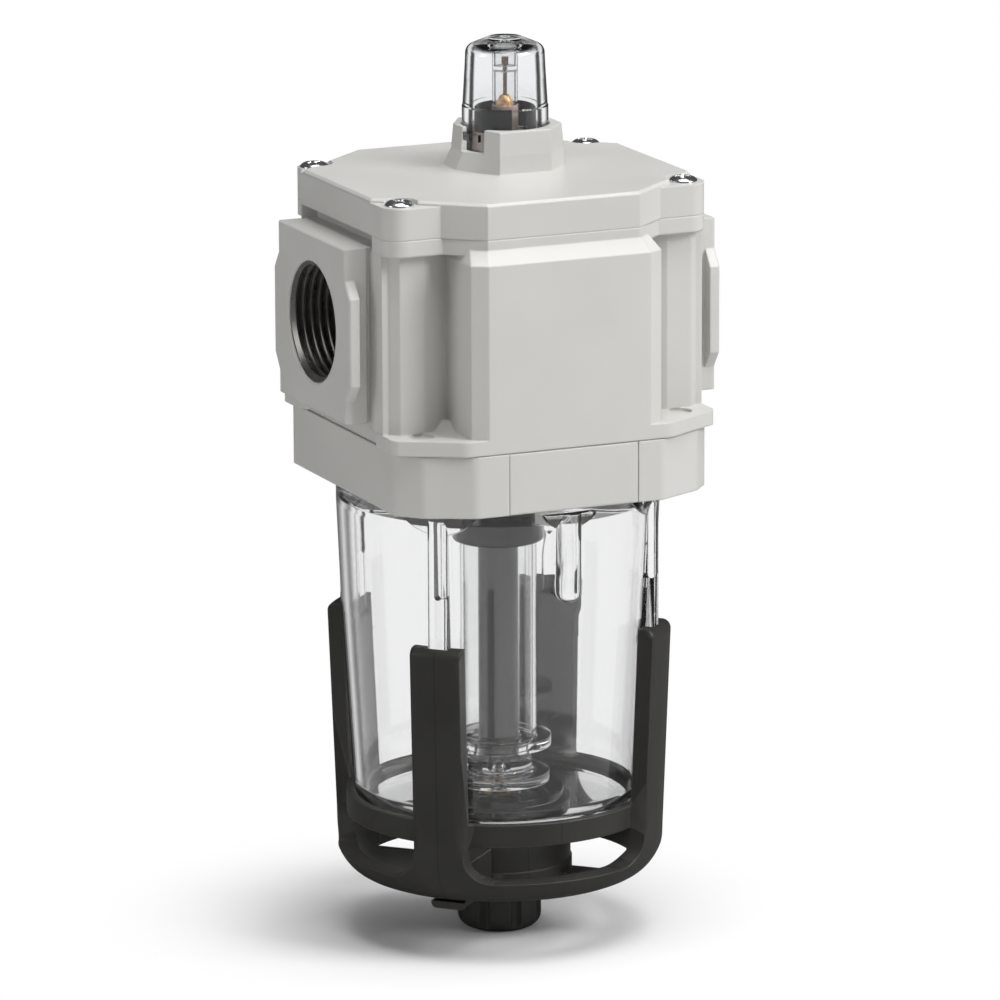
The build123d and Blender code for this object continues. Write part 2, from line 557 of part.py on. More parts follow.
def cover_screws():
    """The four pan head screws of the cover, each a separate solid."""
    screws = []
    for x, y in SCREWS:
        shank = disc(SCREW_R, SCREW_END_Z, COVER_EAR_TOP_Z, x, y)
        head = disc(SCREW_HEAD_R, COVER_EAR_TOP_Z, COVER_EAR_TOP_Z + SCREW_HEAD_H, x, y)
        rim = [e for e in head.edges() if e.center().Z > COVER_EAR_TOP_Z + SCREW_HEAD_H - 0.01]
        head = fillet(rim, SCREW_HEAD_ROUND)
        long_side, short_side, deep = SCREW_SLOT
        top = COVER_EAR_TOP_Z + SCREW_HEAD_H
        for wide, narrow in ((long_side, short_side), (short_side, long_side)):
            head -= block((x - wide / 2, x + wide / 2), (y - narrow / 2, y + narrow / 2), (top - deep, top))
        screws.append(shank + head)
    return screws


def sight_dome():
    """The clear dome with its thicker band and the lugs of its bayonet."""
    edge = (DOME_TOP_R - DOME_STEP, DOME_CROWN_Z)
    outer = [(DOME_R, DOME_Z), (DOME_R, DOME_BAND_Z), (DOME_R - DOME_STEP, DOME_BAND_Z + DOME_STEP_H),
             (DOME_TOP_R, DOME_SHOULDER_Z), edge, (DOME_CROWN_R, DOME_TOP_Z), (0, DOME_TOP_Z)]
    inner = [(0, DOME_TOP_Z - DOME_WALL), *DOME_HOLLOW, (DOME_R - DOME_WALL, DOME_Z)]
    whole = turned(outer + inner, {edge: DOME_EDGE_R, DOME_HOLLOW[1]: DOME_INNER_EDGE_R})
    whole = Pos(DOME_X, DOME_Y, 0) * whole
    for a0, a1 in DOME_LUG_ANGLES:
        whole += sector(DOME_LUG_R, DOME_R - 1, *DOME_LUG_Z, a0, a1, DOME_X, DOME_Y)
    dimple = Pos(DOME_X, DOME_Y, DOME_TOP_Z + DOME_DIMPLE_RISE) * Sphere(DOME_DIMPLE_R)
    return whole - dimple


def dome_o_ring():
    """The sealing ring under the dome's lower edge."""
    section = (DOME_Z - DOME_FLOOR_Z - FACE_GAP) / 2
    return o_ring(DOME_R - DOME_WALL / 2, section, DOME_FLOOR_Z + section, DOME_X, DOME_Y)


def sight_insert():
    """The taupe insert that fills the dome's foot and carries the seat on a post."""
    whole = disc(INSERT_R, INSERT_Z, INSERT_TOP_Z, DOME_X, DOME_Y)
    whole += disc(INSERT_POST_R, INSERT_TOP_Z, BLACK_RING_TOP_Z, DOME_X, DOME_Y)
    whole -= disc(OIL_WAY_R, INSERT_Z, INSERT_TOP_Z, DRIP_WAY_X, DOME_Y)
    whole -= disc(SEAT_R + FACE_GAP, SEAT_Z, BLACK_RING_TOP_Z, DOME_X, DOME_Y)
    whole -= disc(NEEDLE_R, INSERT_Z, SEAT_Z, DOME_X, DOME_Y)
    return whole


def dome_ring():
    """The black ring on the insert, with its sight slot."""
    whole = ring(BLACK_RING_R, BLACK_RING_R - BLACK_RING_WALL, INSERT_TOP_Z, BLACK_RING_TOP_Z, DOME_X, DOME_Y)
    slot = Pos(DOME_X, DOME_Y, 0) * Rot(0, 0, BLACK_RING_SLOT_ANGLE) * block(
        (0, BLACK_RING_R + 1), (-BLACK_RING_SLOT / 2, BLACK_RING_SLOT / 2),
        (BLACK_RING_SLOT_Z, BLACK_RING_TOP_Z))
    return whole - slot


def needle_seat():
    """The brass nozzle that the needle closes."""
    floor_z = SEAT_Z + SEAT_FLOOR
    way_r = NEEDLE_R + FIT
    points = [(NEEDLE_R, SEAT_Z), (SEAT_R, SEAT_Z), (SEAT_R, SEAT_TOP_Z - SEAT_TIP_H),
              (SEAT_TIP_R, SEAT_TOP_Z), (way_r, SEAT_TOP_Z), (way_r, floor_z), (NEEDLE_R, floor_z)]
    return Pos(DOME_X, DOME_Y, 0) * turned(points)


def needle():
    """The thin rod that meters the oil, with its thicker head."""
    rod = disc(NEEDLE_R, NEEDLE_Z, NEEDLE_TOP_Z, DOME_X, DOME_Y)
    return rod + disc(NEEDLE_HEAD_R, NEEDLE_TOP_Z - NEEDLE_HEAD_H, NEEDLE_TOP_Z, DOME_X, DOME_Y)


def drip_tube():
    """The clear tube round the needle, with the web that guides it and a closed top."""
    z0 = BLACK_RING_TOP_Z + FACE_GAP
    inner_r = DRIP_TUBE_R - DRIP_TUBE_WALL
    whole = ring(DRIP_TUBE_R, inner_r, z0, DRIP_TUBE_TOP_Z, DOME_X, DOME_Y)
    whole += ring(DRIP_TUBE_R, NEEDLE_R + FIT, *DRIP_TUBE_WEB, DOME_X, DOME_Y)
    whole += disc(DRIP_TUBE_R, DRIP_TUBE_TOP_Z - DRIP_TUBE_CAP, DRIP_TUBE_TOP_Z, DOME_X, DOME_Y)
    return whole


def bowl_collar():
    """The square ring under the body, with the lock button's pocket and the shelf for its spring."""
    whole = plate(mirrored(COLLAR_QUARTER), COLLAR_Z, COLLAR_TOP_Z,
                  {corner: COLLAR_CORNER_R for corner in COLLAR_QUARTER[1:4]})
    whole -= disc(BOWL_NECK_R + SEAT_GAP, COLLAR_Z, COLLAR_TOP_Z)
    half = LUG_HALF_ANGLE + 1
    for middle in quarters(LUG_TURN):
        whole -= sector(LUG_R + SEAT_GAP, BOWL_NECK_R, COLLAR_Z, COLLAR_TOP_Z, middle - half, middle + half)
    half = BUTTON_HALF_WIDTH + FIT
    front = -COLLAR_QUARTER[0][1]
    whole -= block(lock_span(half), (front, BUTTON_BACK_Y + FIT), (COLLAR_Z, COLLAR_TOP_Z))
    rail = half + BUTTON_RAIL
    rail_y = (BUTTON_RAIL_Y[0] - FIT, BUTTON_RAIL_Y[1] + FIT)
    whole -= block(lock_span(rail), rail_y, (COLLAR_Z, COLLAR_TOP_Z))
    whole += block(lock_span(SHELF_HALF_WIDTH), (SPRING_Y - SHELF_DEEP, BUTTON_BACK_Y + 1.0), SHELF_Z)
    return whole


def lock_span(half):
    """The limits in X of something that is centred on the lock."""
    return LOCK_X - half, LOCK_X + half


def lock_button():
    """The button that slides down in the collar's front, with side rails and the tongue."""
    front = -COLLAR_QUARTER[0][1]
    whole = block(lock_span(BUTTON_HALF_WIDTH), (front, BUTTON_BACK_Y), (COLLAR_Z, COLLAR_TOP_Z))
    edges = [e for e in whole.edges() if abs(e.center().Y - front) < 0.01]
    whole = chamfer(edges, BUTTON_EDGE)
    rail = BUTTON_HALF_WIDTH + BUTTON_RAIL
    whole += block(lock_span(rail), BUTTON_RAIL_Y, (COLLAR_Z, COLLAR_TOP_Z))
    whole += block(lock_span(TONGUE_HALF_WIDTH), TONGUE_Y, (COLLAR_TOP_Z, TONGUE_TOP_Z))
    pocket_y = (SPRING_Y - SHELF_DEEP - SEAT_GAP, BUTTON_BACK_Y)
    whole -= block(lock_span(SHELF_HALF_WIDTH + SEAT_GAP), pocket_y, (SHELF_Z[0] - SEAT_GAP, SPRING_TOP_Z))
    return whole


def lock_spring():
    """The small coil that pushes the lock button up."""
    low = SHELF_Z[1] + SPRING_WIRE_R
    height = SPRING_TOP_Z - SHELF_Z[1] - 2 * SPRING_WIRE_R
    path = Pos(LOCK_X, SPRING_Y, low) * Helix(SPRING_PITCH, height, SPRING_R)
    start = path @ 0
    section = Plane(origin=start, z_dir=path % 0) * Circle(SPRING_WIRE_R)
    return sweep(section, path=path)


def bowl():
    """The clear bowl: turned wall, four ribs, front pillar, bayonet lugs and drain boss."""
    (r0, z0), (r1, z1), (r2, z2) = BOWL_OUTLINE
    neck_in = BOWL_NECK_R - BOWL_NECK_WALL
    outer = [(BOSS_R, BOSS_Z), (BOSS_R, BOWL_Z), (r0, BOWL_Z), (r0, z0), (r1, z1), (r2, z2),
             (r2, BOWL_SHOULDER_Z), (BOWL_NECK_R, BOWL_SHOULDER_Z), (BOWL_NECK_R, BOWL_TOP_Z)]
    inner = [(neck_in, BOWL_TOP_Z), (neck_in, BOWL_SHOULDER_Z + 1.5), (r2 - BOWL_WALL, z2 + 1.0),
             (r1 - BOWL_WALL, z1), (r0 - BOWL_WALL, z0), (r0 - BOWL_WALL, BOWL_FLOOR_Z),
             (STEM_R + SEAT_GAP, BOWL_FLOOR_Z), (STEM_R + SEAT_GAP, SPIGOT_TOP_Z + SEAT_GAP),
             (SPIGOT_R + FIT, SPIGOT_TOP_Z + SEAT_GAP), (SPIGOT_R + FIT, BOSS_Z)]
    inner_corner = {(r0 - BOWL_WALL, BOWL_FLOOR_Z): BOWL_INNER_CORNER_R}
    outer_corners = {(r0, BOWL_Z): BOWL_CORNER_R, (r2, BOWL_SHOULDER_Z): BOWL_EDGE_R, (r2, z2): BOWL_BEND_R}
    whole = turned(outer + inner, inner_corner | outer_corners)
    cavity = turned([(0, BOWL_FLOOR_Z), (0, BOWL_TOP_Z)] + inner[:6], inner_corner)
    rib = block((r1 - BOWL_WALL, RIB_R), (-RIB_WIDTH / 2, RIB_WIDTH / 2), RIB_Z)
    tips = [e for e in rib.edges() if abs(e.center().X - RIB_R) < 0.01]
    rib = fillet(tips, RIB_TIP_R)
    pillar_top = COLLAR_Z - BUTTON_TRAVEL - SEAT_GAP
    extras = disc(PILLAR_R, PILLAR_Z + PILLAR_R, pillar_top, LOCK_X, PILLAR_Y)
    extras += Pos(LOCK_X, PILLAR_Y, PILLAR_Z + PILLAR_R) * Sphere(PILLAR_R)
    extras += Pos(LOCK_X, 0, 0) * Rot(0, 0, -90) * flare(PILLAR_FLARE_Z, pillar_top, PILLAR_FLARE_HALF_WIDTH)
    pocket = rib_pocket()
    for angle in quarters(RIB_ANGLE):
        extras += Rot(0, 0, angle) * rib
        extras += Rot(0, 0, angle) * flare(FLARE_Z, BOWL_SHOULDER_Z, FLARE_HALF_WIDTH)
    whole += extras - cavity
    for angle in quarters(RIB_ANGLE):
        whole -= Rot(0, 0, angle) * pocket
    for middle in quarters(LUG_TURN):
        whole += sector(LUG_R, neck_in + 1, *LUG_Z, middle - LUG_HALF_ANGLE, middle + LUG_HALF_ANGLE)
    return whole


def flare(low, top, half_width):
    """A bulge with an arched lower edge, where the bowl's wall widens under the collar, on the +X side."""
    inner = BOWL_OUTLINE[2][0] - BOWL_WALL
    skin = turned([(inner, low), (BOWL_OUTLINE[2][0], low), (FLARE_R, top - FLARE_LIP), (FLARE_R, top),
                   (inner, top)])
    arch_r = ((top - low) ** 2 + half_width ** 2) / (2 * (top - low))
    arch = along_x(arch_r, inner, FLARE_R + 1, low + arch_r)
    return skin & arch & block((0, FLARE_R), (-half_width, half_width), (low, top))


def rib_pocket():
    """The blind channel with a round lower end inside one rib, cut from the bowl's bore."""
    half = RIB_POCKET_WIDTH / 2
    low, top = RIB_POCKET_Z
    reach = (BOWL_OUTLINE[1][0] - BOWL_WALL - 1, RIB_R - RIB_POCKET_WALL)
    return block(reach, (-half, half), (low + half, top)) + along_x(half, *reach, low + half)


def bowl_seal():
    """The flat ring between the bowl's rim and the body."""
    neck_in = BOWL_NECK_R - BOWL_NECK_WALL
    return ring(BOWL_NECK_R - 0.2, neck_in + 0.2, BOWL_TOP_Z + FACE_GAP, SOCKET_ROOF_Z)


def bowl_guard():
    """The cage round the bowl: dished floor, four posts, inner band, hub and bottom lug."""
    wall = [(r - GUARD_THICKNESS, z) for r, z in GUARD_OUTLINE[3:]]
    inside = wall[::-1] + [(GUARD_FLOOR_R, GUARD_FLOOR_Z), (0, GUARD_FLOOR_Z)]
    shell = turned([(0, GUARD_Z)] + GUARD_OUTLINE + inside,
                   {inside[3]: GUARD_INNER_ROUND, GUARD_OUTLINE[-1]: GUARD_TOP_ROUND})
    for angle in quarters():
        shell -= Rot(0, 0, angle) * window()
    band = ring(BAND_R, BAND_R - BAND_WALL, *BAND_Z)
    hub = disc(GUARD_HUB_R, GUARD_FLOOR_Z - 1, BOWL_Z)
    whole = shell + band + hub - disc(BOSS_R + SEAT_GAP, GUARD_Z, BOWL_Z)
    slot_y = RIB_WIDTH / 2 + SEAT_GAP
    slot = block((BOWL_FOOT_R - BOWL_WALL, RIB_R + SEAT_GAP), (-slot_y, slot_y),
                 (RIB_Z[0] - SEAT_GAP, GUARD_POST_TOP_Z))
    for angle in quarters(RIB_ANGLE):
        whole -= Rot(0, 0, angle) * slot
    xs, ys, low = GUARD_LUG
    lug = block(xs, ys, (low, GUARD_Z + 0.5))
    lower = [e for e in lug.edges() if abs(e.center().Z - low) < 0.01 and abs(e.center().Y) > ys[1] - 0.01]
    whole += Rot(0, 0, RIB_ANGLE) * fillet(lower, GUARD_LUG_ROUND)
    space_r = BOWL_OUTLINE[0][0] + SEAT_GAP
    top = BOWL_OUTLINE[0][1]
    return whole - turned([(0, BOWL_Z), (space_r, BOWL_Z), (space_r, top), (0, top)],
                          {(space_r, BOWL_Z): BOWL_CORNER_R})


def window():
    """The cutter for the opening between two posts, on the +X side."""
    shift = POST_WIDTH / 2 * 2 ** 0.5
    far = RIB_R + WINDOW_REACH
    points = [(shift, 0), (far, far - shift), (far, shift - far)]
    cutter = plate(points, WINDOW_Z, GUARD_POST_TOP_Z + 5)
    sides = [e for e in cutter.edges()
             if abs(e.center().Z - WINDOW_Z) < 0.01 and e.center().X < far - 1]
    return fillet(sides, WINDOW_CORNER_R)


def drain_knob():
    """The lobed knob under the guard, with its spigot up into the bowl's boss."""
    grip = disc(KNOB_R, 0, KNOB_TOP_Z)
    for lobe in range(KNOB_LOBES):
        angle = radians(360 / KNOB_LOBES * lobe)
        away = KNOB_R + KNOB_SCALLOP_R - KNOB_SCALLOP_DEEP
        grip -= disc(KNOB_SCALLOP_R, 0, KNOB_TOP_Z, away * cos(angle), away * sin(angle))
    grip &= turned([(0, 0), (KNOB_R, 0), (KNOB_R, KNOB_TOP_Z), (0, KNOB_TOP_Z)],
                   {(KNOB_R, 0): KNOB_EDGE_R})
    whole = grip + disc(SPIGOT_R, KNOB_TOP_Z - 1, SPIGOT_TOP_Z)
    whole -= disc(STEM_R + FIT, STEM_Z - 1, SPIGOT_TOP_Z)
    return whole - disc(OUTLET_R, 0, STEM_Z)


def drain_stem():
    """The valve stem that the knob's thread lifts off its seat."""
    head_z = DRAIN_SEAT_TOP_Z + FACE_GAP
    whole = disc(STEM_R, STEM_Z, head_z) + disc(STEM_HEAD_R, head_z, head_z + STEM_HEAD_H)
    way_z = head_z - STEM_CROSS_DROP
    whole -= disc(STEM_WAY_R, STEM_Z, way_z)
    return whole - along_y(STEM_CROSS_R, -STEM_R - 1, STEM_R + 1, 0, way_z - 1)


def drain_seat():
    """The round plate on the bowl's floor that the stem's head closes on."""
    whole = ring(DRAIN_SEAT_R, STEM_R + SEAT_GAP, BOWL_FLOOR_Z, DRAIN_SEAT_TOP_Z)
    outer = DRAIN_RING_R + DRAIN_RING_SECTION + FACE_GAP
    inner = DRAIN_RING_R - DRAIN_RING_SECTION - FACE_GAP
    return whole - ring(outer, inner, DRAIN_SEAT_TOP_Z - 2 * DRAIN_RING_SECTION, DRAIN_SEAT_TOP_Z)


def drain_o_ring():
    """The small sealing ring under the stem's head."""
    return o_ring(DRAIN_RING_R, DRAIN_RING_SECTION, DRAIN_SEAT_TOP_Z - DRAIN_RING_SECTION)


def feed_hub():
    """The hub that hangs from the body and carries the pick-up tube and its sleeve."""
    points = [(0, HUB_Z), (HUB_R, HUB_Z), (HUB_R, HUB_STEP_Z), (HUB_NECK_R, HUB_STEP_Z + HUB_BEVEL),
              (HUB_NECK_R, DOME_ROOF_Z), (HUB_SPIGOT_R, DOME_ROOF_Z), (HUB_SPIGOT_R, HUB_TOP_Z),
              (0, HUB_TOP_Z)]
    whole = turned(points, {(HUB_R, HUB_Z): HUB_EDGE_R, (HUB_R, HUB_STEP_Z): HUB_EDGE_R})
    whole -= disc(TUBE_R + FACE_GAP, HUB_Z, TUBE_TOP_Z)
    whole -= ring(SLEEVE_R + FACE_GAP, SLEEVE_R - SLEEVE_WALL - FACE_GAP, HUB_Z, SLEEVE_TOP_Z)
    whole -= disc(OIL_WAY_R, TUBE_TOP_Z, HUB_TOP_Z)
    return whole


def pickup_tube():
    """The dark tube that the oil rises in."""
    return ring(TUBE_R, TUBE_BORE_R, TUBE_Z, TUBE_TOP_Z)


def tube_sleeve():
    """The clear sleeve round the pick-up tube."""
    return ring(SLEEVE_R, SLEEVE_R - SLEEVE_WALL, FOOT_DISC_TOP_Z, SLEEVE_TOP_Z)


def pickup_foot():
    """The clear double disc at the tube's end, with the chamber of the check ball."""
    upper_z = FOOT_DISC_TOP_Z - FOOT_DISC
    lower_z = FOOT_LOW_Z + FOOT_DISC
    neck = [(FOOT_NECK_R, lower_z), (FOOT_NECK_R, upper_z)]
    points = [(0, FOOT_LOW_Z), (FOOT_LOW_DISC_R, FOOT_LOW_Z), (FOOT_LOW_DISC_R, lower_z), *neck,
              (FOOT_DISC_R, upper_z), (FOOT_DISC_R, FOOT_DISC_TOP_Z), (0, FOOT_DISC_TOP_Z)]
    whole = turned(points, {corner: FOOT_NECK_ROUND for corner in neck})
    whole -= disc(TUBE_R + FACE_GAP, TUBE_Z, FOOT_DISC_TOP_Z)
    whole -= disc(BALL_HOLE_R, FOOT_LOW_Z, TUBE_Z)
    chamber_top = ball_rest_z() + BALL_R + BALL_LIFT + SEAT_GAP
    return whole - disc(BALL_R + BALL_FIT, BALL_SEAT_Z, chamber_top)


def ball_rest_z():
    """Height of the check ball's middle where it lies on the rim of its hole."""
    return BALL_SEAT_Z + (BALL_R ** 2 - BALL_HOLE_R ** 2) ** 0.5 + FACE_GAP


def check_ball():
    """The steel ball that keeps the oil from running back."""
    return Pos(0, 0, ball_rest_z()) * Sphere(BALL_R)


def flow_guide():
    """The plug in the passage with the cheeks that hold the vane's pin."""
    whole = along_x(PASSAGE_R - FACE_GAP, -GUIDE_LENGTH, 0)
    for ys in (CHEEK_Y, (-CHEEK_Y[1], -CHEEK_Y[0])):
        cheek = block((-1, PIN_X + BARREL_R), ys, (PIN_Z - BARREL_R, PORT_AXIS_Z + PASSAGE_R))
        whole += cheek & along_x(PASSAGE_R - FACE_GAP, -1, PIN_X + BARREL_R)
    whole -= along_x(GUIDE_OPENING_R, -GUIDE_LENGTH, 0, GUIDE_OPENING_Z)
    return whole - along_y(PIN_R + FACE_GAP, -CHEEK_Y[1], CHEEK_Y[1], PIN_X, PIN_Z)


def damper_vane():
    """The flap that hangs over the guide's opening and lifts with the flow."""
    whole = along_x(VANE_R, VANE_GAP, VANE_GAP + VANE, GUIDE_OPENING_Z)
    whole += block((VANE_GAP, VANE_GAP + VANE), (-BARREL_HALF, BARREL_HALF), (GUIDE_OPENING_Z, PIN_Z))
    whole += along_y(BARREL_R, -BARREL_HALF, BARREL_HALF, PIN_X, PIN_Z)
    return whole - along_y(PIN_R + FIT, -BARREL_HALF, BARREL_HALF, PIN_X, PIN_Z)


def damper_pin():
    """The pin that the vane swings on."""
    return along_y(PIN_R, -PIN_HALF, PIN_HALF, PIN_X, PIN_Z)


PIECES = {
    "body": body,
    "top_cover": top_cover,
    "cover_gasket": cover_gasket,
    "cover_screws": cover_screws,
    "sight_dome": sight_dome,
    "dome_o_ring": dome_o_ring,
    "sight_insert": sight_insert,
    "dome_ring": dome_ring,
    "needle_seat": needle_seat,
    "needle": needle,
    "drip_tube": drip_tube,
    "bowl_collar": bowl_collar,
    "lock_button": lock_button,
    "lock_spring": lock_spring,
    "bowl": bowl,
    "bowl_seal": bowl_seal,
    "bowl_guard": bowl_guard,
    "drain_knob": drain_knob,
    "drain_stem": drain_stem,
    "drain_seat": drain_seat,
    "drain_o_ring": drain_o_ring,
    "feed_hub": feed_hub,
    "pickup_tube": pickup_tube,
    "tube_sleeve": tube_sleeve,
    "pickup_foot": pickup_foot,
    "check_ball": check_ball,
    "flow_guide": flow_guide,
    "damper_vane": damper_vane,
    "damper_pin": damper_pin,
}


def main():
    """Build every piece and write each to its own file."""
    os.makedirs("parts", exist_ok=True)
    for name, make in PIECES.items():
        shape = make()
        solids = shape if isinstance(shape, list) else shape.solids()
        whole = Compound(label=name, children=list(solids)) if len(solids) > 1 else solids[0]
        whole.label = name
        export_step(whole, f"parts/{name}.step")
        print(name, len(solids), round(sum(s.volume for s in solids) / 1000, 2))


main()
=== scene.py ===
import logging
import math
from dataclasses import dataclass, field
from enum import Enum
from typing import Sequence

import bmesh
import bpy
from mathutils import Matrix, Vector


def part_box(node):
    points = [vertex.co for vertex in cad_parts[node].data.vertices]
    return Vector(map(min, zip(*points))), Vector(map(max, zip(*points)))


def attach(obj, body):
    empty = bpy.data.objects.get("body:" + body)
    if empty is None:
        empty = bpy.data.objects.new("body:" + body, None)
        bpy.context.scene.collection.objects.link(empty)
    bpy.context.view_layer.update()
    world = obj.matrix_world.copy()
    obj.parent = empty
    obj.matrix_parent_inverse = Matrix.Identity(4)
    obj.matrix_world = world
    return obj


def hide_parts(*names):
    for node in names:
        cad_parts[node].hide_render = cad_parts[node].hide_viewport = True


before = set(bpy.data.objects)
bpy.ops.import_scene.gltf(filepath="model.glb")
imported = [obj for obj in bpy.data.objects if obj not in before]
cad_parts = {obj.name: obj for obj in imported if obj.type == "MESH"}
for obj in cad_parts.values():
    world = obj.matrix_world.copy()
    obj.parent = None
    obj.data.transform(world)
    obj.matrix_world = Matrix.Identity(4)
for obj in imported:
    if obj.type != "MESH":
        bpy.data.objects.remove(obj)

LOG = logging.getLogger("lubricator")
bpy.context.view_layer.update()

# Below the first level of its noise the mottle is 0, and above the second it is 1
MOTTLE_LEVELS = (0.3, 0.7)
# How well the softened normal agrees with the face's on a place that is flat, and on a full edge; between
# them runs the mask of the painted edge highlight
EDGE_AGREE = (0.985, 0.80)
# The sockets of a mix node for colours: its two colours and its result
MIX_A, MIX_B, MIX_OUT = 6, 7, 2
# Points nearer to each other than this count as one, in metres
SAME_POINT = 1e-7

Tone = tuple[float, float, float]
Point = tuple[float, float, float]


class Body(str, Enum):
    """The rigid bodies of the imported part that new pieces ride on."""

    HOUSING = "housing"
    BOWL_UNIT = "bowl_unit"


class Coat(str, Enum):
    """The finishes that nodes and pieces are given."""

    CAST = "cast_paint"
    BORE = "machined_bore"
    BLACK = "guard_plastic"
    KNOB = "knob_plastic"
    RING = "ring_plastic"
    CLEAR = "clear_plastic"
    DOME = "dome_plastic"
    GREY = "tube_plastic"
    HUB = "hub_plastic"
    TAUPE = "taupe_plastic"
    RUBBER = "seal_rubber"
    STEEL = "screw_steel"
    BRASS = "nozzle_brass"
    NEEDLE = "needle_brass"


def new_group(name: str, inputs: Sequence[tuple[str, str, object]],
              outputs: Sequence[tuple[str, str]]) -> bpy.types.NodeTree:
    """Makes an empty shader node group with its sockets.

    Args:
        name: the group's name.
        inputs: name, socket type and default of each input.
        outputs: name and socket type of each output.

    Returns:
        The node tree, with a group input and a group output in it.
    """
    tree = bpy.data.node_groups.new(name, "ShaderNodeTree")
    for label, kind, value in inputs:
        socket = tree.interface.new_socket(name=label, in_out="INPUT", socket_type=kind)
        socket.default_value = value
    for label, kind in outputs:
        tree.interface.new_socket(name=label, in_out="OUTPUT", socket_type=kind)
    tree.nodes.new("NodeGroupInput").name = "in"
    tree.nodes.new("NodeGroupOutput").name = "out"
    return tree


def add_node(tree: bpy.types.NodeTree, kind: str, **settings: object) -> bpy.types.Node:
    """Adds a node and sets its properties.

    Args:
        tree: the node tree.
        kind: the node's type name.
        settings: properties to set on it.

    Returns:
        The new node.
    """
    node = tree.nodes.new(kind)
    for key, value in settings.items():
        setattr(node, key, value)
    return node


def mottle_group() -> bpy.types.NodeTree:
    """A soft cloudy mask from 0 to 1, for slow changes of tone over a surface.

    Returns:
        The node group.
    """
    tree = new_group("Mottle", [("Scale", "NodeSocketFloat", 40.0), ("Detail", "NodeSocketFloat", 3.0)],
                     [("Mask", "NodeSocketFloat")])
    place = add_node(tree, "ShaderNodeTexCoord")
    noise = add_node(tree, "ShaderNodeTexNoise")
    ramp = add_node(tree, "ShaderNodeMapRange")
    ramp.inputs["From Min"].default_value, ramp.inputs["From Max"].default_value = MOTTLE_LEVELS
    tree.links.new(place.outputs["Object"], noise.inputs["Vector"])
    tree.links.new(tree.nodes["in"].outputs["Scale"], noise.inputs["Scale"])
    tree.links.new(tree.nodes["in"].outputs["Detail"], noise.inputs["Detail"])
    tree.links.new(noise.outputs["Fac"], ramp.inputs["Value"])
    tree.links.new(ramp.outputs["Result"], tree.nodes["out"].inputs["Mask"])
    return tree


def grain_group() -> bpy.types.NodeTree:
    """A normal with fine grain on edges softened by a small radius, and a mask of those edges for a
    painted highlight.

    Returns:
        The node group.
    """
    tree = new_group("SoftGrain",
                     [("Scale", "NodeSocketFloat", 1500.0), ("Height", "NodeSocketFloat", 0.00002),
                      ("Radius", "NodeSocketFloat", 0.0005)],
                     [("Normal", "NodeSocketVector"), ("Edge", "NodeSocketFloat")])
    place = add_node(tree, "ShaderNodeTexCoord")
    noise = add_node(tree, "ShaderNodeTexNoise")
    noise.inputs["Detail"].default_value = 2.0
    bump = add_node(tree, "ShaderNodeBump")
    bevel = add_node(tree, "ShaderNodeBevel", samples=6)
    tree.links.new(place.outputs["Object"], noise.inputs["Vector"])
    tree.links.new(tree.nodes["in"].outputs["Scale"], noise.inputs["Scale"])
    tree.links.new(noise.outputs["Fac"], bump.inputs["Height"])
    tree.links.new(tree.nodes["in"].outputs["Height"], bump.inputs["Distance"])
    tree.links.new(tree.nodes["in"].outputs["Radius"], bevel.inputs["Radius"])
    tree.links.new(bevel.outputs["Normal"], bump.inputs["Normal"])
    tree.links.new(bump.outputs["Normal"], tree.nodes["out"].inputs["Normal"])
    flat = add_node(tree, "ShaderNodeNewGeometry")
    agree = add_node(tree, "ShaderNodeVectorMath", operation="DOT_PRODUCT")
    edge = add_node(tree, "ShaderNodeMapRange", interpolation_type="SMOOTHSTEP")
    edge.inputs["From Min"].default_value, edge.inputs["From Max"].default_value = EDGE_AGREE
    tree.links.new(flat.outputs["Normal"], agree.inputs[0])
    tree.links.new(bevel.outputs["Normal"], agree.inputs[1])
    tree.links.new(agree.outputs["Value"], edge.inputs["Value"])
    tree.links.new(edge.outputs["Result"], tree.nodes["out"].inputs["Edge"])
    return tree


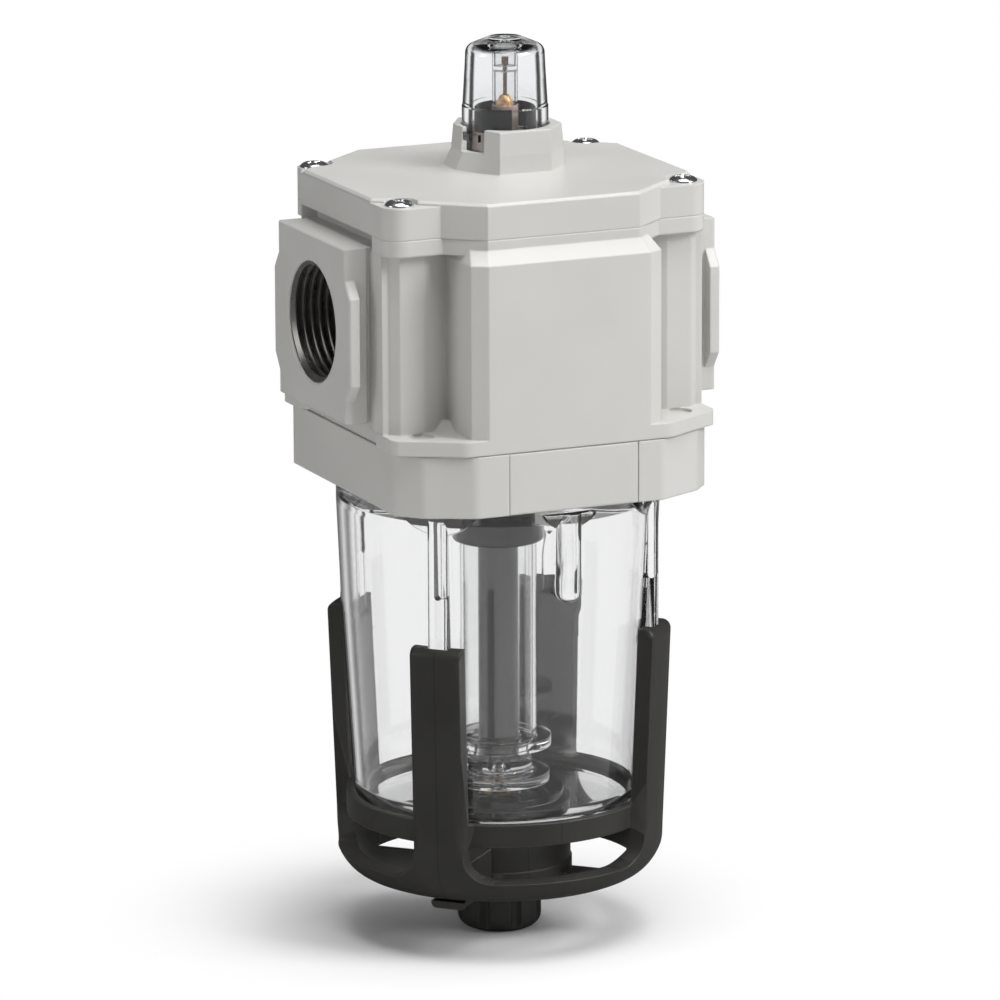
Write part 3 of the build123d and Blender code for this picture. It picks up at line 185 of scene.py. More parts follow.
@dataclass(frozen=True)
class Finish:
    """One procedural surface: two tones, a range of roughness, a fine grain and, where set, a painted
    highlight on rounded edges.

    Attributes:
        coat: which finish this is.
        tone_a: darker colour, linear RGB.
        tone_b: lighter colour, linear RGB.
        rough: roughness where the mask is 0 and where it is 1.
        mottle_scale: size of the slow change of tone.
        grain_scale: size of the fine grain.
        grain_height: depth of the fine grain, in metres.
        edge: radius that edges are softened to, in metres.
        settings: values set on the shader's own sockets.
        edge_highlight_gain: what the tone is multiplied with where an edge is rounded; above 1 it is a
            painted highlight.
    """

    coat: Coat
    tone_a: Tone
    tone_b: Tone
    rough: tuple[float, float]
    mottle_scale: float = 45.0
    grain_scale: float = 1500.0
    grain_height: float = 0.00002
    edge: float = 0.0005
    settings: dict[str, object] = field(default_factory=dict)
    edge_highlight_gain: float = 1.0

    def build(self, groups: dict[str, bpy.types.NodeTree]) -> bpy.types.Material:
        """Makes the material.

        Args:
            groups: the shared node groups by name.

        Returns:
            The new material.
        """
        mat = bpy.data.materials.new(self.coat.value)
        mat.use_nodes = True
        tree = mat.node_tree
        shader = tree.nodes["Principled BSDF"]
        mottle = add_node(tree, "ShaderNodeGroup", node_tree=groups["Mottle"])
        mottle.inputs["Scale"].default_value = self.mottle_scale
        mix = add_node(tree, "ShaderNodeMix", data_type="RGBA")
        mix.inputs[MIX_A].default_value = (*self.tone_a, 1.0)
        mix.inputs[MIX_B].default_value = (*self.tone_b, 1.0)
        tree.links.new(mottle.outputs["Mask"], mix.inputs[0])
        rough = add_node(tree, "ShaderNodeMapRange")
        rough.inputs["To Min"].default_value, rough.inputs["To Max"].default_value = self.rough
        tree.links.new(mottle.outputs["Mask"], rough.inputs["Value"])
        tree.links.new(rough.outputs["Result"], shader.inputs["Roughness"])
        grain = add_node(tree, "ShaderNodeGroup", node_tree=groups["SoftGrain"])
        grain.inputs["Scale"].default_value = self.grain_scale
        grain.inputs["Height"].default_value = self.grain_height
        grain.inputs["Radius"].default_value = self.edge
        tree.links.new(grain.outputs["Normal"], shader.inputs["Normal"])
        # Painted highlight: the tone is multiplied by edge_highlight_gain where an edge is rounded.
        lit = add_node(tree, "ShaderNodeMix", data_type="RGBA", blend_type="MULTIPLY")
        lit.inputs[MIX_B].default_value = (self.edge_highlight_gain,) * 3 + (1.0,)
        tree.links.new(grain.outputs["Edge"], lit.inputs[0])
        tree.links.new(mix.outputs[MIX_OUT], lit.inputs[MIX_A])
        tree.links.new(self.colour(tree, lit.outputs[MIX_OUT]), shader.inputs["Base Color"])
        for socket, value in self.settings.items():
            shader.inputs[socket].default_value = value
        self.complete(tree, shader)
        return mat

    def colour(self, tree: bpy.types.NodeTree, tone: bpy.types.NodeSocket) -> bpy.types.NodeSocket:
        """The base colour; a plain finish keeps its mottled tone as it is."""
        return tone

    def complete(self, tree: bpy.types.NodeTree, shader: bpy.types.Node) -> None:
        """The last step of a finish; a plain one has nothing to add."""


@dataclass(frozen=True)
class ClearFinish(Finish):
    """A clear moulded plastic that is darker where one looks along its wall, partly by absorption and
    partly by painted dark reflection, with a painted dark reflection band on its upright inner walls.

    Attributes:
        rim_absorb_and_shade: what the tone is multiplied with at a grazing angle; partly the wall's
            absorption, partly a painted dark reflection.
        rim_from: where the darker rim begins, as the shader's facing value.
        band: facing values where the inner wall starts to mirror, is darkest, and is clear again; in
            between a dark reflection is painted.
        painted_band_share: how much of the band is painted dark, from 0 to 1.
        painted_band_level: the level of the painted dark reflection.
        upright: how far a wall may lean before the band is gone, and when it is whole, as the normal's Z.
        shadow_tint: how much light the surface lets through to shadows.
    """

    rim_absorb_and_shade: float = 0.35
    rim_from: float = 0.62
    band: tuple[float, float, float, float] = (0.235, 0.250, 0.256, 0.268)
    painted_band_share: float = 0.6
    painted_band_level: float = 0.012
    upright: tuple[float, float] = (0.5, 0.25)
    shadow_tint: float = 0.92

    def colour(self, tree: bpy.types.NodeTree, tone: bpy.types.NodeSocket) -> bpy.types.NodeSocket:
        """Darkens the tone towards a grazing angle, partly as absorption and partly as a painted dark
        reflection.

        Args:
            tree: the material's node tree.
            tone: the mottled tone.

        Returns:
            The socket that feeds the base colour.
        """
        # Darker at a grazing angle: partly the wall's absorption, partly a painted dark reflection.
        facing = add_node(tree, "ShaderNodeLayerWeight")
        rim = add_node(tree, "ShaderNodeMapRange", interpolation_type="SMOOTHSTEP")
        rim.inputs["From Min"].default_value = self.rim_from
        darker = add_node(tree, "ShaderNodeMix", data_type="RGBA", blend_type="MULTIPLY")
        darker.inputs[MIX_B].default_value = (self.rim_absorb_and_shade,) * 3 + (1.0,)
        tree.links.new(facing.outputs["Facing"], rim.inputs["Value"])
        tree.links.new(rim.outputs["Result"], darker.inputs[0])
        tree.links.new(tone, darker.inputs[MIX_A])
        return darker.outputs[MIX_OUT]

    def complete(self, tree: bpy.types.NodeTree, shader: bpy.types.Node) -> None:
        """Adds the dark band, a painted dark reflection on the upright inner walls, and lets light
        through to shadows so that what is inside is lit.

        Args:
            tree: the material's node tree.
            shader: its main shader.
        """
        facing = add_node(tree, "ShaderNodeLayerWeight")
        ramp = add_node(tree, "ShaderNodeValToRGB")
        stops = ramp.color_ramp.elements
        for _ in range(2):
            stops.new(0.5)
        for stop, place, level in zip(stops, self.band, (0.0, self.painted_band_share, self.painted_band_share, 0.0)):
            stop.position = place
            stop.color = (level,) * 3 + (1.0,)
        side = add_node(tree, "ShaderNodeNewGeometry")
        lie = add_node(tree, "ShaderNodeSeparateXYZ")
        slope = add_node(tree, "ShaderNodeMath", operation="ABSOLUTE")
        upright = add_node(tree, "ShaderNodeMapRange", interpolation_type="SMOOTHSTEP")
        upright.inputs["From Min"].default_value, upright.inputs["From Max"].default_value = self.upright
        inside = add_node(tree, "ShaderNodeMath", operation="MULTIPLY")
        wall = add_node(tree, "ShaderNodeMath", operation="MULTIPLY")
        # Painted dark reflection: a dark diffuse sheet takes over on the upright inner walls in the band.
        dark = add_node(tree, "ShaderNodeBsdfDiffuse")
        dark.inputs["Color"].default_value = (self.painted_band_level,) * 3 + (1.0,)
        with_painted_band = add_node(tree, "ShaderNodeMixShader")
        tree.links.new(facing.outputs["Facing"], ramp.inputs["Fac"])
        tree.links.new(ramp.outputs["Color"], inside.inputs[0])
        tree.links.new(side.outputs["Backfacing"], inside.inputs[1])
        tree.links.new(side.outputs["Normal"], lie.inputs[0])
        tree.links.new(lie.outputs["Z"], slope.inputs[0])
        tree.links.new(slope.outputs["Value"], upright.inputs["Value"])
        tree.links.new(inside.outputs["Value"], wall.inputs[0])
        tree.links.new(upright.outputs["Result"], wall.inputs[1])
        tree.links.new(wall.outputs["Value"], with_painted_band.inputs[0])
        tree.links.new(shader.outputs["BSDF"], with_painted_band.inputs[1])
        tree.links.new(dark.outputs["BSDF"], with_painted_band.inputs[2])
        path = add_node(tree, "ShaderNodeLightPath")
        clear = add_node(tree, "ShaderNodeBsdfTransparent")
        clear.inputs["Color"].default_value = (self.shadow_tint,) * 3 + (1.0,)
        pick = add_node(tree, "ShaderNodeMixShader")
        tree.links.new(path.outputs["Is Shadow Ray"], pick.inputs[0])
        tree.links.new(with_painted_band.outputs["Shader"], pick.inputs[1])
        tree.links.new(clear.outputs["BSDF"], pick.inputs[2])
        tree.links.new(pick.outputs["Shader"], tree.nodes["Material Output"].inputs["Surface"])


@dataclass(frozen=True)
class SeamedFinish(Finish):
    """A moulded plastic with the fine lines where the parts of its mould met.

    Attributes:
        seam_half: half the width of a line, in metres.
        seam_tone: what the tone is multiplied with on a line.
    """

    seam_half: float = 0.00012
    seam_tone: float = 0.45

    def colour(self, tree: bpy.types.NodeTree, tone: bpy.types.NodeSocket) -> bpy.types.NodeSocket:
        """Draws the lines on the planes through the axis, every 45 degrees.

        Args:
            tree: the material's node tree.
            tone: the mottled tone.

        Returns:
            The socket that feeds the base colour.
        """
        place = add_node(tree, "ShaderNodeTexCoord")
        nearest = None
        for k in range(4):
            angle = math.radians(45 * k)
            across = add_node(tree, "ShaderNodeVectorMath", operation="DOT_PRODUCT")
            across.inputs[1].default_value = (math.sin(angle), -math.cos(angle), 0.0)
            size = add_node(tree, "ShaderNodeMath", operation="ABSOLUTE")
            tree.links.new(place.outputs["Object"], across.inputs[0])
            tree.links.new(across.outputs["Value"], size.inputs[0])
            if nearest is None:
                nearest = size.outputs["Value"]
                continue
            least = add_node(tree, "ShaderNodeMath", operation="MINIMUM")
            tree.links.new(nearest, least.inputs[0])
            tree.links.new(size.outputs["Value"], least.inputs[1])
            nearest = least.outputs["Value"]
        line = add_node(tree, "ShaderNodeMapRange", interpolation_type="SMOOTHSTEP")
        line.inputs["From Min"].default_value = self.seam_half * 2
        line.inputs["From Max"].default_value = 0.0
        darker = add_node(tree, "ShaderNodeMix", data_type="RGBA", blend_type="MULTIPLY")
        darker.inputs[MIX_B].default_value = (self.seam_tone,) * 3 + (1.0,)
        tree.links.new(nearest, line.inputs["Value"])
        tree.links.new(line.outputs["Result"], darker.inputs[0])
        tree.links.new(tone, darker.inputs[MIX_A])
        return darker.outputs[MIX_OUT]


CLEAR_SETTINGS = {"Transmission Weight": 1.0, "IOR": 1.5, "Specular IOR Level": 0.5}

# edge_highlight_gain above 1 paints a highlight on rounded edges of the cast paint, the guard and the
# knob.
FINISHES = [
    Finish(Coat.CAST, (0.545, 0.540, 0.518), (0.575, 0.570, 0.548), (0.36, 0.44), mottle_scale=30.0,
           grain_scale=900.0, grain_height=0.000012, edge=0.0007,
           settings={"Coat Weight": 0.15, "Coat Roughness": 0.25}, edge_highlight_gain=1.12),
    Finish(Coat.BORE, (0.22, 0.21, 0.195), (0.32, 0.31, 0.29), (0.26, 0.36), mottle_scale=220.0,
           grain_scale=2600.0, grain_height=0.00001, edge=0.0001, settings={"Metallic": 0.9}),
    SeamedFinish(Coat.BLACK, (0.0262, 0.0252, 0.0219), (0.0325, 0.0313, 0.0276), (0.40, 0.50),
                 mottle_scale=60.0, grain_scale=3200.0, grain_height=0.00003, edge=0.0006, edge_highlight_gain=2.6),
    Finish(Coat.RING, (0.006, 0.006, 0.006), (0.009, 0.009, 0.0088), (0.5, 0.6), mottle_scale=60.0,
           grain_scale=1800.0, grain_height=0.00001, edge=0.0002, settings={"Specular IOR Level": 0.2}),
    Finish(Coat.KNOB, (0.030, 0.030, 0.027), (0.038, 0.038, 0.035), (0.35, 0.45), mottle_scale=60.0,
           grain_scale=3200.0, grain_height=0.00002, edge=0.0004, edge_highlight_gain=2.5),
    # The clear finishes paint a dark reflection on their grazing edges and inner walls, besides the
    # wall's absorption.
    ClearFinish(Coat.CLEAR, (0.930, 0.932, 0.932), (0.942, 0.944, 0.944), (0.0, 0.02), mottle_scale=30.0,
                grain_scale=300.0, grain_height=0.000002, edge=0.0004, settings=CLEAR_SETTINGS),
    ClearFinish(Coat.DOME, (0.935, 0.94, 0.945), (0.95, 0.955, 0.96), (0.0, 0.02), mottle_scale=50.0,
                grain_scale=400.0, grain_height=0.000002, edge=0.0003, settings=CLEAR_SETTINGS,
                rim_absorb_and_shade=0.5, rim_from=0.7, band=(0.205, 0.235, 0.275, 0.31), painted_band_share=0.92),
    Finish(Coat.GREY, (0.027, 0.027, 0.026), (0.037, 0.037, 0.036), (0.3, 0.4), mottle_scale=60.0,
           grain_scale=1800.0, grain_height=0.00001, edge=0.0003),
    Finish(Coat.HUB, (0.04, 0.04, 0.039), (0.055, 0.055, 0.053), (0.16, 0.26), mottle_scale=60.0,
           grain_scale=1500.0, grain_height=0.00001, edge=0.0004),
    Finish(Coat.TAUPE, (0.22, 0.18, 0.15), (0.27, 0.22, 0.19), (0.4, 0.5), mottle_scale=90.0,
           grain_scale=1800.0, grain_height=0.00001, edge=0.0003),
    Finish(Coat.RUBBER, (0.008, 0.008, 0.008), (0.014, 0.014, 0.014), (0.5, 0.62), mottle_scale=90.0,
           grain_scale=1800.0, grain_height=0.00001, edge=0.0002),
    Finish(Coat.STEEL, (0.55, 0.55, 0.56), (0.66, 0.66, 0.67), (0.16, 0.26), mottle_scale=300.0,
           grain_scale=2500.0, grain_height=0.000006, edge=0.00025, settings={"Metallic": 1.0}),
    Finish(Coat.BRASS, (0.62, 0.36, 0.13), (0.74, 0.45, 0.19), (0.22, 0.34), mottle_scale=300.0,
           grain_scale=2500.0, grain_height=0.000006, edge=0.00015, settings={"Metallic": 1.0}),
    Finish(Coat.NEEDLE, (0.075, 0.044, 0.022), (0.11, 0.065, 0.034), (0.22, 0.34), mottle_scale=300.0,
           grain_scale=2500.0, grain_height=0.000006, edge=0.00015, settings={"Metallic": 1.0}),
]

NODE_COATS = {
    Coat.CAST: ["body", "top_cover", "bowl_collar", "lock_button"],
    Coat.BLACK: ["bowl_guard"],
    Coat.KNOB: ["drain_knob"],
    Coat.RING: ["dome_ring"],
    Coat.CLEAR: ["bowl", "tube_sleeve", "pickup_foot", "drain_seat"],
    Coat.DOME: ["sight_dome", "drip_tube"],
    Coat.GREY: ["pickup_tube", "flow_guide", "damper_vane"],
    Coat.HUB: ["feed_hub"],
    Coat.TAUPE: ["sight_insert"],
    Coat.RUBBER: ["cover_gasket", "dome_o_ring", "bowl_seal", "drain_o_ring"],
    Coat.STEEL: ["cover_screws", "check_ball", "lock_spring", "damper_pin"],
    Coat.BRASS: ["needle_seat", "drain_stem"],
    Coat.NEEDLE: ["needle"],
}


def clean_mesh(mesh: bpy.types.Mesh) -> None:
    """Joins points that lie on each other, and turns every face outwards.

    Args:
        mesh: the mesh that is changed.
    """
    work = bmesh.new()
    work.from_mesh(mesh)
    bmesh.ops.remove_doubles(work, verts=work.verts, dist=SAME_POINT)
    bmesh.ops.recalc_face_normals(work, faces=work.faces)
    work.to_mesh(mesh)
    work.free()


def add_piece(name: str, verts: Sequence[Sequence[float]], faces: Sequence[Sequence[int]], body: Body,
              coat: Coat, mats: dict[Coat, bpy.types.Material], smooth_angle: float) -> bpy.types.Object:
    """Adds a mesh as a piece that rides on a body.

    Args:
        name: the piece's name.
        verts: its points, in the part's frame.
        faces: its faces, as point numbers.
        body: the body that it rides on.
        coat: its finish.
        mats: the built materials.
        smooth_angle: edges flatter than this shade smooth, in degrees.

    Returns:
        The new object.
    """
    mesh = bpy.data.meshes.new(name)
    mesh.from_pydata([tuple(v) for v in verts], [], [tuple(f) for f in faces])
    mesh.validate()
    clean_mesh(mesh)
    mesh.shade_smooth()
    mesh.set_sharp_from_angle(angle=math.radians(smooth_angle))
    obj = bpy.data.objects.new(name, mesh)
    bpy.context.scene.collection.objects.link(obj)
    mesh.materials.append(mats[coat])
    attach(obj, body.value)
    return obj


def centre_of(node: str) -> Vector:
    """The middle of a CAD node's box."""
    low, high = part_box(node)
    return (low + high) / 2


@dataclass
class Ports:
    """The turned threads of the body's two ports, which the CAD bores leave plain.

    Attributes:
        mats: the built materials.
        axis_z: height of the ports' axis.
        face_gap: how far behind the port's face the thread starts.
        depth: length of the threaded bore.
        end_gap: what the thread's last turn keeps from the bore's end.
        run_out: what the whole turns leave free of the depth.
        root_r: radius at the bottom of the thread.
        crest_r: radius at its crest.
        pitch: from one turn to the next.
        crest: where the crest starts and ends, as shares of the pitch.
        steps: points round one turn.
    """

    mats: dict[Coat, bpy.types.Material]
    axis_z: float = 0.1752
    face_gap: float = 0.0006
    depth: float = 0.019
    end_gap: float = 0.0004
    run_out: float = 0.0012
    root_r: float = 0.01655
    crest_r: float = 0.01520
    pitch: float = 0.00231
    crest: tuple[float, float] = (0.42, 0.58)
    steps: int = 72

    def build(self) -> list[bpy.types.Object]:
        """Adds both ports' threads.

        Returns:
            The new pieces.
        """
        low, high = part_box("body")
        return [self.thread("inlet_thread", low.x), self.thread("outlet_thread", high.x)]

    def thread(self, name: str, face_x: float) -> bpy.types.Object:
        """Adds one helical internal thread.

        Args:
            name: the piece's name.
            face_x: where the port's face is.

        Returns:
            The piece.
        """
        side = math.copysign(1.0, face_x)
        tooth = [(0.0, self.root_r), *((share, self.crest_r) for share in self.crest)]
        last = self.steps * (int((self.depth - self.run_out) / self.pitch) + 1)
        verts: list[Vector] = []
        faces: list[list[int]] = []
        for k in range(last + 1):
            angle = 2 * math.pi * k / self.steps
            fade = min(1.0, k / self.steps, (last - k) / self.steps)
            for share, radius in tooth:
                deep = (k / self.steps + share - 1) * self.pitch
                deep = self.face_gap + min(max(deep, 0.0), self.depth - self.end_gap)
                r = self.root_r - (self.root_r - radius) * fade
                verts.append(Vector((face_x - side * deep, r * math.cos(angle),
                                     self.axis_z + side * r * math.sin(angle))))
        width = len(tooth)
        for k in range(last):
            start = k * width
            for i in range(start, start + width - 1):
                faces.append([i, i + 1, i + 1 + width, i + width])
            ahead = start + self.steps * width
            if ahead + width < len(verts):
                end = start + width - 1
                faces.append([end, ahead, ahead + width, end + width])
        return add_piece(name, verts, faces, Body.HOUSING, Coat.BORE, self.mats, smooth_angle=25.0)


@dataclass
class Cage:
    """The bowl's guard with the openings of its floor and the smooth foot that the CAD node lacks.

    Attributes:
        mats: the built materials.
        hub_edge_r: radius of the hub, from which the openings start.
        opening_r: radius that they reach.
        open_sides: their middles, in degrees from +X; the inlet's side stays closed.
        cut_z: their lower and upper height.
        arc_steps: steps along their inner and outer arc.
        arm_half: half the width of the arm between two sides.
        arm_slack: what the cut above an arm takes more on each side.
        arm_top_z: height of the arms' top.
        foot_line: radius and height of the points that the foot's curve goes through.
        foot_steps: steps from one of them to the next.
        foot_slope: how far the wall above the foot leans out, and over what height.
        foot_snap: how near to a level a point counts as on it.
        foot_past: how far past the end of a straight a point may lie, as a share of its height.
        foot_reach: how far from the CAD's foot line a point may lie to be moved.
        smooth_angle: edges flatter than this shade smooth, in degrees.
    """

    mats: dict[Coat, bpy.types.Material]
    hub_edge_r: float = 0.0202
    opening_r: float = 0.0385
    open_sides: tuple[float, ...] = (0.0, 90.0, 270.0)
    cut_z: tuple[float, float] = (0.0100, 0.0270)
    arc_steps: tuple[int, int] = (12, 20)
    arm_half: float = 0.0044
    arm_slack: float = 0.0008
    arm_top_z: float = 0.0174
    foot_line: tuple[tuple[float, float], ...] = (
        (0.0330, 0.0159), (0.0396, 0.0176), (0.0435, 0.0214), (0.0457, 0.0270), (0.0462, 0.0330))
    foot_steps: int = 5
    foot_slope: tuple[float, float] = (0.0003, 0.010)
    foot_snap: float = 1e-6
    foot_past: float = 0.0001
    foot_reach: float = 0.00012
    smooth_angle: float = 24.0

    def build(self) -> list[bpy.types.Object]:
        """Makes the guard from a copy of the CAD mesh.

        Returns:
            The new piece.
        """
        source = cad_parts["bowl_guard"]
        mesh = source.data.copy()
        mesh.transform(source.matrix_world)
        self.round_foot(mesh)
        piece = bpy.data.objects.new("open_guard", mesh)
        bpy.context.scene.collection.objects.link(piece)
        for turn in self.open_sides:
            self.cut(piece, turn, 45.0, -self.arm_half, self.cut_z)
        for quarter in range(4):
            self.cut(piece, 45.0 + 90.0 * quarter, 0.0, self.arm_half + self.arm_slack,
                     (self.arm_top_z, self.cut_z[1]))
        piece.data.name = "open_guard"
        piece.data.shade_smooth()
        piece.data.set_sharp_from_angle(angle=math.radians(self.smooth_angle))
        piece.data.materials.clear()
        piece.data.materials.append(self.mats[Coat.BLACK])
        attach(piece, Body.BOWL_UNIT.value)
        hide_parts("bowl_guard")
        return [piece]

    def round_foot(self, mesh: bpy.types.Mesh) -> None:
        """Puts the guard's outer foot on one smooth curve through the CAD outline's points.

        Args:
            mesh: the copied mesh, in the part's frame.
        """
        work = bmesh.new()
        work.from_mesh(mesh)
        for (_, low), (_, high) in zip(self.foot_line, self.foot_line[1:]):
            for k in range(1, self.foot_steps):
                level = (0, 0, low + (high - low) * k / self.foot_steps)
                bmesh.ops.bisect_plane(work, geom=work.verts[:] + work.edges[:] + work.faces[:],
                                       dist=self.foot_snap, plane_co=level, plane_no=(0, 0, 1))
        (first_r, first_z), (second_r, _) = self.foot_line[:2]
        last_r, last_z = self.foot_line[-1]
        line = [(2 * first_r - second_r, first_z), *self.foot_line,
                (last_r + self.foot_slope[0], last_z + self.foot_slope[1])]
        for vert in work.verts:
            self.bend(vert, line)
        work.to_mesh(mesh)
        work.free()

    def bend(self, vert: bmesh.types.BMVert, line: Sequence[tuple[float, float]]) -> None:
        """Moves a point that lies on the straight foot line to the curve.

        Args:
            vert: the point.
            line: the foot's points, with one more before and after them.
        """
        radius = math.hypot(vert.co.x, vert.co.y)
        for k in range(1, len(self.foot_line)):
            (low_r, low_z), (high_r, high_z) = line[k], line[k + 1]
            share = (vert.co.z - low_z) / (high_z - low_z)
            off_line = abs(radius - (low_r + (high_r - low_r) * share))
            past_end = abs(share - 0.5) - 0.5
            if past_end > self.foot_past or off_line > self.foot_reach:
                continue
            near = line[k - 1:k + 3]
            new_r, new_z = (self.spline(share, *(end[axis] for end in near)) for axis in (0, 1))
            vert.co.x *= new_r / radius
            vert.co.y *= new_r / radius
            vert.co.z = new_z
            return

    @staticmethod
    def spline(share: float, before: float, start: float, end: float, after: float) -> float:
        """A value on a smooth curve between two points, with its slope taken from their neighbours.

        Args:
            share: how far along it is, from 0 to 1.
            before: the value at the point before them.
            start: the value at the first point.
            end: the value at the second point.
            after: the value at the point after them.

        Returns:
            The value.
        """
        square, cube = share ** 2, share ** 3
        return ((2 * cube - 3 * square + 1) * start + (cube - 2 * square + share) * (end - before) / 2
                + (3 * square - 2 * cube) * end + (cube - square) * (after - start) / 2)

    def cut(self, piece: bpy.types.Object, turn: float, spread: float, margin: float,
            levels: tuple[float, float]) -> None:
        """Cuts a piece of a ring between the hub and the guard's wall.

        Args:
            piece: the guard so far.
            turn: the middle of the cut, in degrees from +X.
            spread: half the cut's angle, in degrees.
            margin: what is added to both of its straight sides.
            levels: its lower and upper height.
        """
        plan: list[tuple[float, float]] = []
        for radius, steps in zip((self.hub_edge_r, self.opening_r), self.arc_steps):
            half = math.radians(spread) + math.asin(margin / radius)
            arc = [(radius, math.radians(turn) + half * (2 * k / steps - 1)) for k in range(steps + 1)]
            plan += arc if not plan else arc[::-1]
        verts = [(radius * math.cos(angle), radius * math.sin(angle), z)
                 for z in levels for radius, angle in plan]
        count = len(plan)
        faces = [list(range(count))[::-1], list(range(count, 2 * count))]
        for k in range(count):
            ahead = (k + 1) % count
            faces.append([k, ahead, ahead + count, k + count])
        mesh = bpy.data.meshes.new("opening")
        mesh.from_pydata(verts, [], faces)
        clean_mesh(mesh)
        tool = bpy.data.objects.new("opening", mesh)
        bpy.context.scene.collection.objects.link(tool)
        step = piece.modifiers.new("opening", "BOOLEAN")
        step.operation = "DIFFERENCE"
        step.object = tool
        view = bpy.context.evaluated_depsgraph_get()
        piece.data = bpy.data.meshes.new_from_object(piece.evaluated_get(view))
        piece.modifiers.clear()
        bpy.data.objects.remove(tool)


@dataclass
class Sight:
    """What stands in the dome and that the CAD has plainer: the ring's slot and the ribbed nozzle.

    Attributes:
        mats: the built materials.
        ring_wall: thickness of the ring's wall.
        ring_edge: how far its edges are broken, and how far its top lies under the CAD's.
        ring_steps: steps round the ring.
        slot_angle: the way its slot faces, in degrees from +X.
        slot_half: half the slot's width.
        nozzle_r: radius of the nozzle.
        nozzle_way_r: radius of the hole through it.
        nozzle_top_z: height of its top.
        nozzle_crown: how far in and how far down the points of its round top lie.
        groove: depth of the grooves between its ribs.
        rib_steps: steps from one groove to the next.
        ribs: how many ribs it has.
    """

    mats: dict[Coat, bpy.types.Material]
    ring_wall: float = 0.0010
    ring_edge: float = 0.0003
    ring_steps: int = 96
    slot_angle: float = -88.0
    slot_half: float = 0.0020
    nozzle_r: float = 0.0022
    nozzle_way_r: float = 0.00062
    nozzle_top_z: float = 0.2317
    nozzle_crown: tuple[tuple[float, float], ...] = (
        (0.0, 0.0024), (0.0002, 0.0013), (0.0006, 0.0005), (0.0011, 0.0))
    groove: float = 0.00022
    rib_steps: int = 4
    ribs: int = 24

    def build(self) -> list[bpy.types.Object]:
        """Adds the black ring and the nozzle.

        Returns:
            The new pieces.
        """
        return [self.ring(), self.nozzle()]

    def ring(self) -> bpy.types.Object:
        """Adds the ring round the insert's post, open at its slot.

        Returns:
            The piece.
        """
        low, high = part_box("dome_ring")
        middle = centre_of("dome_ring")
        outer = (high.x - low.x) / 2
        inner = outer - self.ring_wall
        edge = self.ring_edge
        top_z = high.z - edge
        section = [(inner, low.z), (outer - edge, low.z), (outer, low.z + edge),
                   (outer, top_z - edge), (outer - edge, top_z), (inner, top_z)]
        half = math.degrees(math.asin(self.slot_half / outer))
        first, last = self.slot_angle + half, self.slot_angle + 360.0 - half
        verts = []
        for k in range(self.ring_steps + 1):
            angle = math.radians(first + (last - first) * k / self.ring_steps)
            verts += [(middle.x + radius * math.cos(angle), middle.y + radius * math.sin(angle), z)
                      for radius, z in section]
        width = len(section)
        faces = [list(range(width)), [self.ring_steps * width + i for i in range(width)][::-1]]
        for k in range(self.ring_steps):
            for i in range(width):
                a, b = k * width + i, k * width + (i + 1) % width
                faces.append([a, b, b + width, a + width])
        piece = add_piece("slotted_ring", verts, faces, Body.HOUSING, Coat.RING, self.mats,
                          smooth_angle=30.0)
        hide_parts("dome_ring")
        return piece

    def nozzle(self) -> bpy.types.Object:
        """Adds the brass nozzle with its ribs and a rounded top.

        Returns:
            The piece.
        """
        foot_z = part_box("needle_seat")[0].z
        middle = centre_of("needle_seat")
        crown = [(self.nozzle_r - inward, self.nozzle_top_z - down) for inward, down in self.nozzle_crown]
        section = [(self.nozzle_way_r, foot_z), (self.nozzle_r, foot_z), *crown,
                   (self.nozzle_way_r, self.nozzle_top_z)]
        grooved = crown[:-1]
        steps = self.ribs * self.rib_steps
        verts = []
        for k in range(steps):
            angle = 2 * math.pi * k / steps
            groove = self.groove if k % self.rib_steps == 0 else 0.0
            for radius, z in section:
                r = radius - (groove if (radius, z) in grooved else 0.0)
                verts.append((middle.x + r * math.cos(angle), middle.y + r * math.sin(angle), z))
        width = len(section)
        faces = []
        for k in range(steps):
            ahead = (k + 1) % steps
            for i in range(width):
                j = (i + 1) % width
                faces.append([k * width + i, k * width + j, ahead * width + j, ahead * width + i])
        piece = add_piece("ribbed_nozzle", verts, faces, Body.HOUSING, Coat.BRASS, self.mats,
                          smooth_angle=20.0)
        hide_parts("needle_seat")
        return piece


